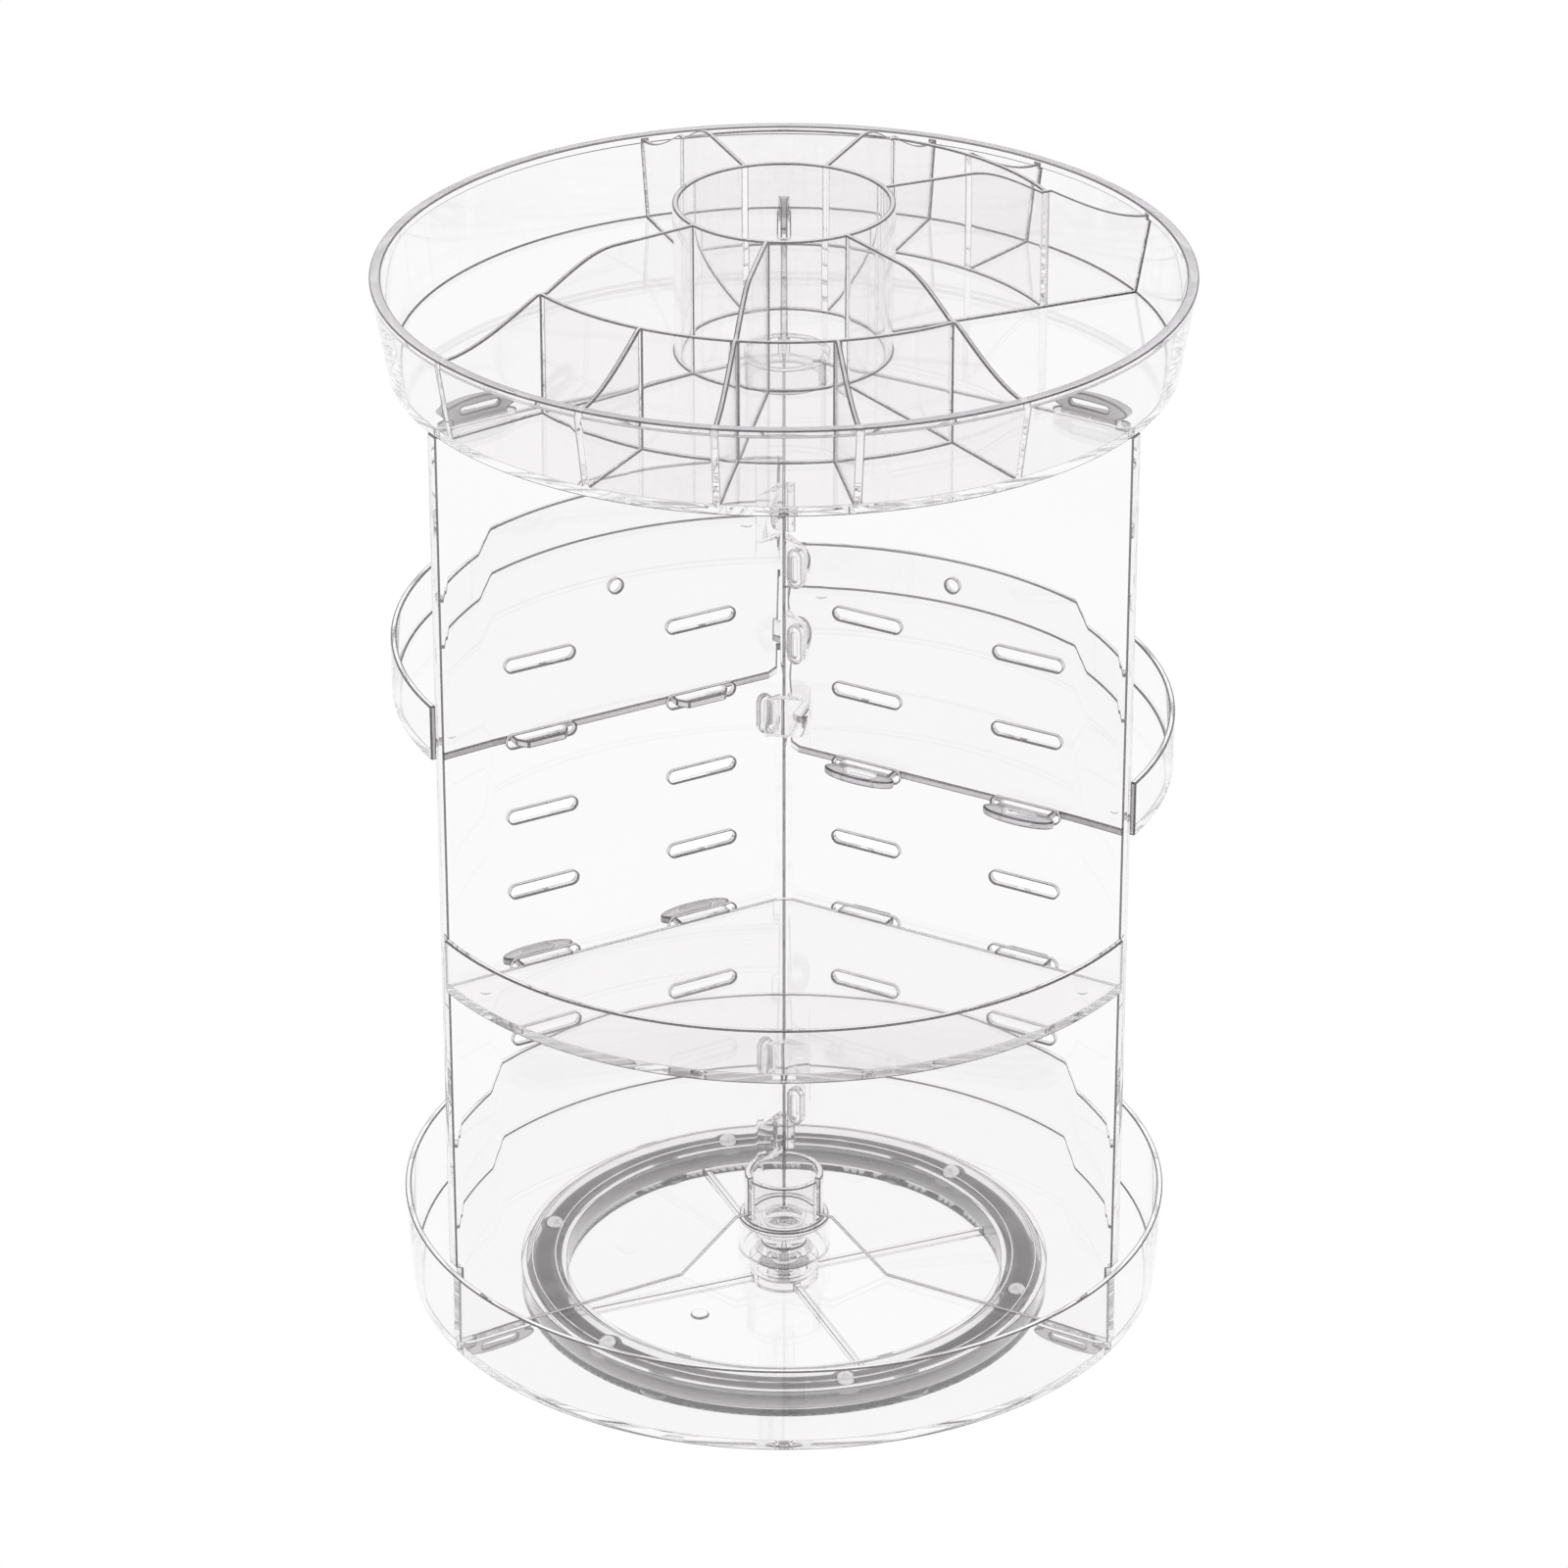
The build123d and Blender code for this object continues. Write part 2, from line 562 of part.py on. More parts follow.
# Top tray: floor, sloping rim with a bead, middle cup, dividers and a socket over the panels
with BuildPart() as top_tray:
    with BuildSketch(Plane.XZ):
        with BuildLine():
            bead_share = (TOP_H - TOP_BEAD_H) / TOP_H
            bead_r_under = TOP_R_BOTTOM + (TOP_R_TOP - TOP_R_BOTTOM) * bead_share - TOP_WALL
            Polyline(
                (0, TOP_Z),
                (TOP_R_BOTTOM, TOP_Z),
                (TOP_R_TOP, RIM_Z),
                (TOP_R_TOP - TOP_BEAD_W, RIM_Z),
                (TOP_R_TOP - TOP_BEAD_W, RIM_Z - TOP_BEAD_H),
                (bead_r_under, RIM_Z - TOP_BEAD_H),
                (TOP_R_BOTTOM - TOP_WALL, TOP_DECK_Z),
                (0, TOP_DECK_Z),
                close=True,
            )
        make_face()
    revolve(axis=Axis.Z)
    with BuildSketch(Plane.XY.offset(TOP_DECK_Z)):
        Circle(CUP_R)
        Circle(CUP_R - CUP_WALL, mode=Mode.SUBTRACT)
    extrude(amount=CUP_H - TOP_FLOOR)
    with BuildSketch(Plane.XY.offset(TOP_Z - TOP_SOCKET_H)):
        Circle(TOP_SOCKET_R)
        Circle(TOP_SOCKET_R - TOP_SOCKET_WALL, mode=Mode.SUBTRACT)
    extrude(amount=TOP_SOCKET_H)
    socket_slots(TOP_SOCKET_R, TOP_SOCKET_WALL, TOP_Z - TOP_SOCKET_H, TOP_SOCKET_H)
    for wall_azimuth in LONG_WALL_AZIMUTHS:
        divider(wall_azimuth, CUP_R - CUP_WALL / 2, TOP_Z + CUP_H, True)
    for wall_azimuth in SHORT_WALL_AZIMUTHS:
        divider(wall_azimuth, ARC_WALL_R, TOP_Z + ARC_WALL_H, False)
    for span_start, span_end in ARC_WALL_SPANS:
        with BuildSketch(Plane.XY.offset(TOP_DECK_Z)):
            with BuildLine():
                outer_arc = CenterArc((0, 0), ARC_WALL_R + DIVIDER_T / 2, span_start, span_end - span_start)
                inner_arc = CenterArc((0, 0), ARC_WALL_R - DIVIDER_T / 2, span_start, span_end - span_start)
                Line(outer_arc @ 0, inner_arc @ 0)
                Line(outer_arc @ 1, inner_arc @ 1)
            make_face()
        extrude(amount=ARC_WALL_H - TOP_FLOOR)
    floor_slots(TOP_Z, TOP_FLOOR)
top_tray.part.label = "top_tray"

pieces = [
    foot_ring.part,
    rubber_feet.part,
    lower_race.part,
    ball_cage.part,
    bearing_balls.part,
    base_tray.part,
    centre_hub.part,
    pivot_washer.part,
    pivot_screw.part,
    top_tray.part,
]
pieces += [panel(name) for name in PANEL_AZIMUTHS]
pieces += [shelf(name) for name in SHELF_AZIMUTHS]

os.makedirs("parts", exist_ok=True)
for piece in pieces:
    export_step(piece, f"parts/{piece.label}.step")
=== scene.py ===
"""Looks of the rotating tiered organiser: clear moulded trays and panels that turn on a ball bearing."""

from math import acos, cos, pi, radians, sin, tau

import bpy
from mathutils import Matrix, Vector


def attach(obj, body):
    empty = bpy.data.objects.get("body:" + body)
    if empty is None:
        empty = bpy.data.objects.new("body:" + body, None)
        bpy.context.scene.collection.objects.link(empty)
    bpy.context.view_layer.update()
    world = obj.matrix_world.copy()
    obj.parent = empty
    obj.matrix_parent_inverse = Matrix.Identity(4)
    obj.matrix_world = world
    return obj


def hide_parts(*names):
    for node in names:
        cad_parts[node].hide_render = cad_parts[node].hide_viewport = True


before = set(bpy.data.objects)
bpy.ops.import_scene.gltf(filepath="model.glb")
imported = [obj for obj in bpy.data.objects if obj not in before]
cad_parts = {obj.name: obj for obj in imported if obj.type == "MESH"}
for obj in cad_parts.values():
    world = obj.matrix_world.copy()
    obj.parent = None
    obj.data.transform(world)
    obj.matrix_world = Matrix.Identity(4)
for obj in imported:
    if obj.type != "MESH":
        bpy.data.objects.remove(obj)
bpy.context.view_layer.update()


# Rubber pads: six soft discs that stop the stand from sliding on the table.
# Pale grey silicone, each with a shallow sucker hollow, pressed into a seat under the foot ring.
PAD_COUNT = 6
PAD_RADIUS = 0.005
PAD_HEIGHT = 0.0025
PAD_CIRCLE = 0.074
PAD_HOLLOW_RADIUS = 0.0028
PAD_HOLLOW_DEPTH = 0.0006
PAD_CORNER = 0.0005
PAD_STEPS = 48
MERGE_GAP = 0.000001


def turned(name, profile, steps):
    """A round solid: a circle drawn at the first (radius, height) point and pulled along the others.

    A profile that comes back to its first point makes a ring, and any other is capped at both ends.
    """
    bpy.ops.object.select_all(action="DESELECT")
    radius, height = profile[0]
    bpy.ops.mesh.primitive_circle_add(vertices=steps, radius=radius, fill_type="NOTHING")
    piece = bpy.context.object
    piece.name = name
    bpy.ops.object.mode_set(mode="EDIT")
    bpy.ops.mesh.select_all(action="SELECT")
    bpy.ops.transform.translate(value=(0, 0, height))
    for next_radius, next_height in profile[1:]:
        bpy.ops.mesh.extrude_edges_move(TRANSFORM_OT_translate={"value": (0, 0, next_height - height)})
        growth = next_radius / radius
        bpy.ops.transform.resize(value=(growth, growth, 1), center_override=(0, 0, next_height))
        radius, height = next_radius, next_height
    bpy.ops.mesh.select_all(action="SELECT")
    bpy.ops.mesh.remove_doubles(threshold=MERGE_GAP)
    bpy.ops.mesh.fill_holes(sides=0)
    bpy.ops.mesh.select_all(action="SELECT")
    bpy.ops.mesh.normals_make_consistent(inside=False)
    bpy.ops.object.mode_set(mode="OBJECT")
    return piece


def take_up(piece):
    """Makes a piece the only one selected and the active one."""
    bpy.ops.object.select_all(action="DESELECT")
    piece.select_set(True)
    bpy.context.view_layer.objects.active = piece


def copied(piece, name, turn=0.0, shift=(0, 0, 0)):
    """A copy of a piece with its own mesh, turned about the axis and then shifted."""
    take_up(piece)
    bpy.ops.object.duplicate(linked=False)
    copy = bpy.context.object
    copy.name = name
    copy.rotation_euler = (0, 0, turn)
    copy.location = shift
    bpy.ops.object.transform_apply(location=True, rotation=True, scale=True)
    return copy


def on_circle(radius, azimuth, height=0.0):
    """A point at a radius and an azimuth about the axis."""
    return (radius * cos(azimuth), radius * sin(azimuth), height)


def moulded_surface_group():
    """Uneven polish of a moulded part: slow waves of gloss with a fine grain on top."""
    group = bpy.data.node_groups.new("moulded_surface", "ShaderNodeTree")
    for socket, least in (("Wave Scale", 12.0), ("Grain Scale", 900.0), ("Gloss From", 0.1), ("Gloss To", 0.3)):
        group.interface.new_socket(socket, in_out="INPUT", socket_type="NodeSocketFloat").default_value = least
    for socket in ("Roughness", "Wave", "Grain"):
        group.interface.new_socket(socket, in_out="OUTPUT", socket_type="NodeSocketFloat")
    nodes = group.nodes
    links = group.links
    given = nodes.new("NodeGroupInput")
    result = nodes.new("NodeGroupOutput")
    place = nodes.new("ShaderNodeTexCoord")
    wave = nodes.new("ShaderNodeTexNoise")
    wave.inputs["Detail"].default_value = 2.0
    grain = nodes.new("ShaderNodeTexNoise")
    grain.inputs["Detail"].default_value = 1.0
    gloss = nodes.new("ShaderNodeMapRange")
    gloss.inputs["From Min"].default_value = 0.3
    gloss.inputs["From Max"].default_value = 0.7
    links.new(place.outputs["Object"], wave.inputs["Vector"])
    links.new(place.outputs["Object"], grain.inputs["Vector"])
    links.new(given.outputs["Wave Scale"], wave.inputs["Scale"])
    links.new(given.outputs["Grain Scale"], grain.inputs["Scale"])
    links.new(wave.outputs["Fac"], gloss.inputs["Value"])
    links.new(given.outputs["Gloss From"], gloss.inputs["To Min"])
    links.new(given.outputs["Gloss To"], gloss.inputs["To Max"])
    links.new(gloss.outputs["Result"], result.inputs["Roughness"])
    links.new(wave.outputs["Fac"], result.inputs["Wave"])
    links.new(grain.outputs["Fac"], result.inputs["Grain"])
    return group


moulded_surface = moulded_surface_group()


def moulded_material(name, dark, light, gloss, wave_scale, grain_scale, grain_depth):
    """An opaque moulded finish between two close colours, with its own gloss range and grain."""
    material = bpy.data.materials.new(name)
    material.use_nodes = True
    nodes = material.node_tree.nodes
    links = material.node_tree.links
    shader = nodes["Principled BSDF"]
    surface = nodes.new("ShaderNodeGroup")
    surface.node_tree = moulded_surface
    surface.inputs["Wave Scale"].default_value = wave_scale
    surface.inputs["Grain Scale"].default_value = grain_scale
    surface.inputs["Gloss From"].default_value = gloss[0]
    surface.inputs["Gloss To"].default_value = gloss[1]
    colour = nodes.new("ShaderNodeMix")
    colour.data_type = "RGBA"
    colour.inputs["A"].default_value = (*dark, 1)
    colour.inputs["B"].default_value = (*light, 1)
    bump = nodes.new("ShaderNodeBump")
    bump.inputs["Distance"].default_value = grain_depth
    links.new(surface.outputs["Wave"], colour.inputs["Factor"])
    links.new(colour.outputs["Result"], shader.inputs["Base Color"])
    links.new(surface.outputs["Roughness"], shader.inputs["Roughness"])
    links.new(surface.outputs["Grain"], bump.inputs["Height"])
    links.new(bump.outputs["Normal"], shader.inputs["Normal"])
    return material


pad_rubber = moulded_material(
    "pad_rubber", (0.52, 0.52, 0.53), (0.66, 0.66, 0.67), (0.55, 0.75), 150, 2500, 0.00004
)
pad_profile = [
    (PAD_HOLLOW_RADIUS / 2, PAD_HOLLOW_DEPTH),
    (PAD_HOLLOW_RADIUS, 0.0),
    (PAD_RADIUS - PAD_CORNER, 0.0),
    (PAD_RADIUS, PAD_CORNER),
    (PAD_RADIUS, PAD_HEIGHT - PAD_CORNER / 2),
    (PAD_RADIUS - PAD_CORNER / 2, PAD_HEIGHT),
]
SMOOTH_ANGLE = radians(50)
first_pad = turned("pad_model", pad_profile, PAD_STEPS)
first_pad.data.materials.append(pad_rubber)
bpy.ops.object.shade_smooth_by_angle(angle=SMOOTH_ANGLE)
for number in range(PAD_COUNT):
    pad_place = on_circle(PAD_CIRCLE, number * tau / PAD_COUNT)
    pad = copied(first_pad, f"rubber_pad_{number + 1}", shift=pad_place)
    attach(pad, "stand")
    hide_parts("rubber_feet")
bpy.data.objects.remove(first_pad)


# Foot ring: the fixed ring that stands on the table and carries the bearing in its channel.
# One clear injection moulding, with four spokes to the pivot's bearing in the middle.
FOOT_BOTTOM = 0.002
FOOT_FLOOR = 0.004
FOOT_TOP = 0.0106
FOOT_RADIUS = 0.081
FOOT_WALL = 0.0018
CHANNEL_OUTER = FOOT_RADIUS - FOOT_WALL
CHANNEL_INNER = 0.0688
FOOT_HUB_RADIUS = 0.0105
PIVOT_BORE = 0.00505
WASHER_SEAT_RADIUS = 0.0078
WASHER_SEAT_TOP = 0.005
SPOKE_COUNT = 4
SPOKE_WIDTH = 0.002
SPOKE_TOP = 0.005
SPOKE_LIFT = 0.0006
SPOKE_AZIMUTH = radians(22)
PAD_SEAT_DEPTH = 0.0005
PAD_SEAT_GAP = 0.00005
BIG_STEPS = 180
SMALL_STEPS = 72
FOOT_ROUND = 0.0002
FLAT_ANGLE = radians(0.3)
BODY, EDGE, SIDE = range(3)
SHARP_ANGLE = radians(32)
ROUND_SHARE = 0.36
LEAST_ROUND = 0.1


def combine(piece, tools, operation, tidy=True):
    """Joins or cuts a piece with other shapes, which are used up, and may merge its flat faces."""
    for tool in tools:
        take_up(piece)
        step = piece.modifiers.new("shape", "BOOLEAN")
        step.operation = operation
        step.solver = "EXACT"
        step.object = tool
        bpy.ops.object.modifier_apply(modifier=step.name)
        bpy.data.objects.remove(tool)
    bpy.ops.object.mode_set(mode="EDIT")
    bpy.ops.mesh.select_all(action="SELECT")
    bpy.ops.mesh.remove_doubles(threshold=MERGE_GAP)
    if tidy:
        bpy.ops.mesh.dissolve_limited(angle_limit=FLAT_ANGLE)
    bpy.ops.object.mode_set(mode="OBJECT")
    return piece


def block(size, middle, turn=0.0):
    """A square block at its size and place, turned about the axis."""
    bpy.ops.object.select_all(action="DESELECT")
    bpy.ops.mesh.primitive_cube_add(size=1, location=middle, scale=size)
    bpy.ops.object.transform_apply(location=True, rotation=True, scale=True)
    piece = bpy.context.object
    piece.rotation_euler = (0, 0, turn)
    bpy.ops.object.transform_apply(location=True, rotation=True, scale=True)
    return piece


def clear_material(name, dull, bright, gloss, clarity):
    """Clear moulded plastic: light passes, bends and takes a faint lilac tint that drifts a little."""
    material = bpy.data.materials.new(name)
    material.use_nodes = True
    nodes = material.node_tree.nodes
    links = material.node_tree.links
    shader = nodes["Principled BSDF"]
    shader.inputs["Transmission Weight"].default_value = clarity
    shader.inputs["IOR"].default_value = 1.49
    surface = nodes.new("ShaderNodeGroup")
    surface.node_tree = moulded_surface
    surface.inputs["Wave Scale"].default_value = 25
    surface.inputs["Gloss From"].default_value = gloss[0]
    surface.inputs["Gloss To"].default_value = gloss[1]
    tint = nodes.new("ShaderNodeMix")
    tint.data_type = "RGBA"
    tint.inputs["A"].default_value = (*dull, 1)
    tint.inputs["B"].default_value = (*bright, 1)
    links.new(surface.outputs["Wave"], tint.inputs["Factor"])
    links.new(tint.outputs["Result"], shader.inputs["Base Color"])
    links.new(surface.outputs["Roughness"], shader.inputs["Roughness"])
    return material


def edge_material(name, outside, inside, gloss):
    """Rounded edges of clear plastic, tinted dark where light enters them and nearly clear for light inside:
    painted shade for the dark lines that bent light draws along clear edges.
    """
    material = clear_material(name, outside, outside, gloss, 1.0)
    nodes = material.node_tree.nodes
    links = material.node_tree.links
    side = nodes.new("ShaderNodeNewGeometry")
    tint = nodes.new("ShaderNodeMix")
    tint.data_type = "RGBA"
    tint.inputs["A"].default_value = (*outside, 1)
    tint.inputs["B"].default_value = (*inside, 1)
    links.new(side.outputs["Backfacing"], tint.inputs["Factor"])
    links.new(tint.outputs["Result"], nodes["Principled BSDF"].inputs["Base Color"])
    return material


clear_plastic = clear_material("clear_plastic", (0.958, 0.952, 0.955), (0.972, 0.966, 0.969), (0.0, 0.01), 1.0)
# The edges' dark tint and the grey tint of narrow side faces are painted shade, standing in for the dark lines
# and grey shading that bent light makes in clear plastic.
clear_edge_painted_shade = edge_material("clear_edge_painted_shade", (0.05, 0.046, 0.048), (0.34, 0.32, 0.33), (0.02, 0.06))
clear_side_painted_shade = clear_material("clear_side_painted_shade", (0.62, 0.6, 0.625), (0.74, 0.72, 0.745), (0.03, 0.1), 0.5)


def clear_slots(piece, finish):
    """Gives a shape the clear plastic and its edge and side tints, which are painted shade, and puts all its
    faces on one of them.
    """
    for material in (clear_plastic, clear_edge_painted_shade, clear_side_painted_shade):
        piece.data.materials.append(material)
    for polygon in piece.data.polygons:
        polygon.material_index = finish
    return piece


def mark_rounds(piece, edge_round, inner_rounds):
    """Marks the sharp edges for rounding, with a smaller round beside faces too narrow for the full one."""
    mesh = piece.data
    corners = mesh.vertices
    beside = {}
    for polygon in mesh.polygons:
        for key in polygon.edge_keys:
            beside.setdefault(key, []).append(polygon)
    marks = mesh.attributes.new("bevel_weight_edge", "FLOAT", "EDGE")
    for edge in mesh.edges:
        faces = beside[edge.key]
        start, end = edge.key
        run = corners[end].co - corners[start].co
        ring = list(faces[0].vertices)
        if ring[(ring.index(start) + 1) % len(ring)] != end:
            run = -run
        hollow = faces[-1].normal.dot(faces[0].normal.cross(run)) > 0
        if faces[0].normal.angle(faces[-1].normal) < SHARP_ANGLE or hollow and not inner_rounds:
            continue
        room = min(face.area for face in faces) / run.length
        for face in faces:
            if len(face.vertices) > 8:
                around = sum((corners[a].co - corners[b].co).length for a, b in face.edge_keys)
                room = min(room, 2 * face.area / around)
        share = ROUND_SHARE * room / edge_round
        marks.data[edge.index].value = min(share, 1.0) if share > LEAST_ROUND else 0.0


def finish_clear(piece, edge_round, node, body, inner_rounds=True):
    """Gives a clear moulding its rounded edges, even shading, materials and place in the assembly."""
    mark_rounds(piece, edge_round, inner_rounds)
    take_up(piece)
    rounding = piece.modifiers.new("rounded_edges", "BEVEL")
    rounding.width = edge_round
    rounding.segments = 3
    rounding.limit_method = "WEIGHT"
    rounding.use_clamp_overlap = False
    # The rounding's faces take the dark edge tint, which is painted shade.
    rounding.material = EDGE
    bpy.ops.object.modifier_apply(modifier=rounding.name)
    bpy.ops.object.shade_smooth_by_angle(angle=SMOOTH_ANGLE)
    even = piece.modifiers.new("even_shading", "WEIGHTED_NORMAL")
    even.keep_sharp = True
    even.weight = 100
    bpy.ops.object.modifier_apply(modifier=even.name)
    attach(piece, body)
    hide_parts(node)


channel_profile = [
    (FOOT_RADIUS, FOOT_BOTTOM),
    (FOOT_RADIUS, FOOT_TOP),
    (CHANNEL_OUTER, FOOT_TOP),
    (CHANNEL_OUTER, FOOT_FLOOR),
    (CHANNEL_INNER, FOOT_FLOOR),
    (CHANNEL_INNER, FOOT_TOP),
    (CHANNEL_INNER - FOOT_WALL, FOOT_TOP),
    (CHANNEL_INNER - FOOT_WALL, FOOT_BOTTOM),
    (FOOT_RADIUS, FOOT_BOTTOM),
]
foot_hub_profile = [
    (FOOT_HUB_RADIUS, FOOT_BOTTOM),
    (FOOT_HUB_RADIUS, FOOT_TOP),
    (PIVOT_BORE, FOOT_TOP),
    (PIVOT_BORE, WASHER_SEAT_TOP),
    (WASHER_SEAT_RADIUS, WASHER_SEAT_TOP),
    (WASHER_SEAT_RADIUS, FOOT_BOTTOM),
    (FOOT_HUB_RADIUS, FOOT_BOTTOM),
]
spoke_start = (FOOT_HUB_RADIUS + WASHER_SEAT_RADIUS) / 2
spoke_end = CHANNEL_INNER - FOOT_WALL / 2
spoke_bottom = FOOT_BOTTOM + SPOKE_LIFT
spoke_box = (spoke_end - spoke_start, SPOKE_WIDTH, SPOKE_TOP - spoke_bottom)
spoke_middle = ((spoke_start + spoke_end) / 2, 0, (SPOKE_TOP + spoke_bottom) / 2)
foot_ring = clear_slots(turned("foot_ring_moulding", channel_profile, BIG_STEPS), BODY)
foot_parts = [turned("foot_hub", foot_hub_profile, SMALL_STEPS)]
for number in range(SPOKE_COUNT):
    foot_parts.append(block(spoke_box, spoke_middle, SPOKE_AZIMUTH + number * tau / SPOKE_COUNT))
combine(foot_ring, foot_parts, "UNION")
seat_profile = [
    (PAD_RADIUS + PAD_SEAT_GAP, FOOT_BOTTOM - PAD_SEAT_DEPTH),
    (PAD_RADIUS + PAD_SEAT_GAP, FOOT_BOTTOM + PAD_SEAT_DEPTH + PAD_SEAT_GAP),
]
pad_seat = turned("pad_seat", seat_profile, PAD_STEPS)
pad_seats = [
    copied(pad_seat, f"pad_seat_{number}", shift=on_circle(PAD_CIRCLE, number * tau / PAD_COUNT))
    for number in range(PAD_COUNT)
]
bpy.data.objects.remove(pad_seat)
combine(foot_ring, pad_seats, "DIFFERENCE")
finish_clear(foot_ring, FOOT_ROUND, "foot_ring", "stand")


# Lower race: the flat ring that the balls roll on, laid in the foot ring's channel.
# Moulded grey acetal with a shallow running groove; its grey is painted darker along the balls' circle as
# painted shade and nearly white at its margins as painted light.
RACE_INNER = 0.0691
RACE_OUTER = 0.0789
RACE_BOTTOM = FOOT_FLOOR
RACE_TOP = 0.005
GROOVE_HALF = 0.0016
GROOVE_DEPTH = 0.0003
RACE_CORNER = 0.0003
BALL_CIRCLE = 0.074
race_profile = [
    (RACE_OUTER, RACE_BOTTOM),
    (RACE_OUTER, RACE_TOP - RACE_CORNER),
    (RACE_OUTER - RACE_CORNER, RACE_TOP),
    (BALL_CIRCLE + GROOVE_HALF, RACE_TOP),
    (BALL_CIRCLE + GROOVE_HALF / 2, RACE_TOP - 0.75 * GROOVE_DEPTH),
    (BALL_CIRCLE, RACE_TOP - GROOVE_DEPTH),
    (BALL_CIRCLE - GROOVE_HALF / 2, RACE_TOP - 0.75 * GROOVE_DEPTH),
    (BALL_CIRCLE - GROOVE_HALF, RACE_TOP),
    (RACE_INNER + RACE_CORNER, RACE_TOP),
    (RACE_INNER, RACE_TOP - RACE_CORNER),
    (RACE_INNER, RACE_BOTTOM),
    (RACE_OUTER, RACE_BOTTOM),
]


def painted_shade_ring_material(name, core, margin, core_half, margin_half_width, gloss):
    """Moulded ring plastic painted darker along the balls' circle than at its thin margins: painted shade at
    the core and painted light at the margins.
    """
    material = moulded_material(name, core, core, gloss, 60, 1800, 0.00003)
    nodes = material.node_tree.nodes
    links = material.node_tree.links
    place = nodes.new("ShaderNodeTexCoord")
    flat = nodes.new("ShaderNodeVectorMath")
    flat.operation = "MULTIPLY"
    flat.inputs[1].default_value = (1, 1, 0)
    radius = nodes.new("ShaderNodeVectorMath")
    radius.operation = "LENGTH"
    offset = nodes.new("ShaderNodeMath")
    offset.operation = "SUBTRACT"
    offset.inputs[1].default_value = BALL_CIRCLE
    distance = nodes.new("ShaderNodeMath")
    distance.operation = "ABSOLUTE"
    share = nodes.new("ShaderNodeMapRange")
    share.interpolation_type = "SMOOTHSTEP"
    share.inputs["From Min"].default_value = core_half
    share.inputs["From Max"].default_value = margin_half_width
    colour = nodes.new("ShaderNodeMix")
    colour.data_type = "RGBA"
    colour.inputs["A"].default_value = (*core, 1)
    colour.inputs["B"].default_value = (*margin, 1)
    links.new(place.outputs["Object"], flat.inputs[0])
    links.new(flat.outputs["Vector"], radius.inputs[0])
    links.new(radius.outputs["Value"], offset.inputs[0])
    links.new(offset.outputs["Value"], distance.inputs[0])
    links.new(distance.outputs["Value"], share.inputs["Value"])
    links.new(share.outputs["Result"], colour.inputs["Factor"])
    links.new(colour.outputs["Result"], nodes["Principled BSDF"].inputs["Base Color"])
    return material


# Painted shade along the balls' circle and painted light at the margins.
race_grey = painted_shade_ring_material("race_grey", (0.34, 0.325, 0.32), (0.93, 0.92, 0.92), 0.0008, 0.0022, (0.3, 0.45))
race = turned("race_ring", race_profile, BIG_STEPS)
race.data.materials.append(race_grey)
bpy.ops.object.shade_smooth_by_angle(angle=SMOOTH_ANGLE)
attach(race, "stand")
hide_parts("lower_race")


# Ball cage: the dark ring that keeps the six balls apart and rolls round with them.
# Moulded dark grey plastic with a round pocket for each ball and softened edges, painted lighter towards its
# margins as painted light over its own dark grey.
CAGE_HALF = 0.0028
CAGE_BOTTOM = 0.00705
CAGE_TOP = 0.00905
BOSS_RADIUS = 0.0044
BALL_COUNT = 6
BALL_RADIUS = 0.003
BALL_HEIGHT = 0.00805
BALL_AZIMUTH = radians(44.3)
POCKET_RADIUS = 0.00315
POCKET_OVERRUN = 0.001
CAGE_ROUND = 0.0005
cage_profile = [
    (BALL_CIRCLE + CAGE_HALF, CAGE_BOTTOM),
    (BALL_CIRCLE + CAGE_HALF, CAGE_TOP),
    (BALL_CIRCLE - CAGE_HALF, CAGE_TOP),
    (BALL_CIRCLE - CAGE_HALF, CAGE_BOTTOM),
    (BALL_CIRCLE + CAGE_HALF, CAGE_BOTTOM),
]
boss_profile = [(BOSS_RADIUS, CAGE_BOTTOM), (BOSS_RADIUS, CAGE_TOP)]
pocket_profile = [
    (POCKET_RADIUS, CAGE_BOTTOM - POCKET_OVERRUN),
    (POCKET_RADIUS, CAGE_TOP + POCKET_OVERRUN),
]
ball_azimuths = [BALL_AZIMUTH + number * tau / BALL_COUNT for number in range(BALL_COUNT)]
# Own dark grey at the core, with painted light towards the margins.
cage_grey = painted_shade_ring_material("cage_grey", (0.31, 0.295, 0.29), (0.62, 0.61, 0.61), 0.0014, 0.0036, (0.3, 0.5))
cage = turned("cage_ring", cage_profile, BIG_STEPS)
boss = turned("boss", boss_profile, PAD_STEPS)
bosses = [copied(boss, "ball_boss", shift=on_circle(BALL_CIRCLE, azimuth)) for azimuth in ball_azimuths]
bpy.data.objects.remove(boss)
combine(cage, bosses, "UNION")
pocket = turned("pocket", pocket_profile, PAD_STEPS)
pockets = [copied(pocket, "ball_pocket", shift=on_circle(BALL_CIRCLE, azimuth)) for azimuth in ball_azimuths]
bpy.data.objects.remove(pocket)
combine(cage, pockets, "DIFFERENCE")
take_up(cage)
softened = cage.modifiers.new("softened_edges", "BEVEL")
softened.width = CAGE_ROUND
softened.segments = 3
softened.limit_method = "ANGLE"
softened.angle_limit = SHARP_ANGLE
bpy.ops.object.modifier_apply(modifier=softened.name)
cage.data.materials.clear()
cage.data.materials.append(cage_grey)
bpy.ops.object.shade_smooth_by_angle(angle=SMOOTH_ANGLE)
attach(cage, "ball_train")
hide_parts("ball_cage")


# Bearing balls: six steel balls that carry the base tray and roll between the two tracks.
# Ground and polished bearing steel, loose in the cage's pockets.
BALL_CUTS = 11


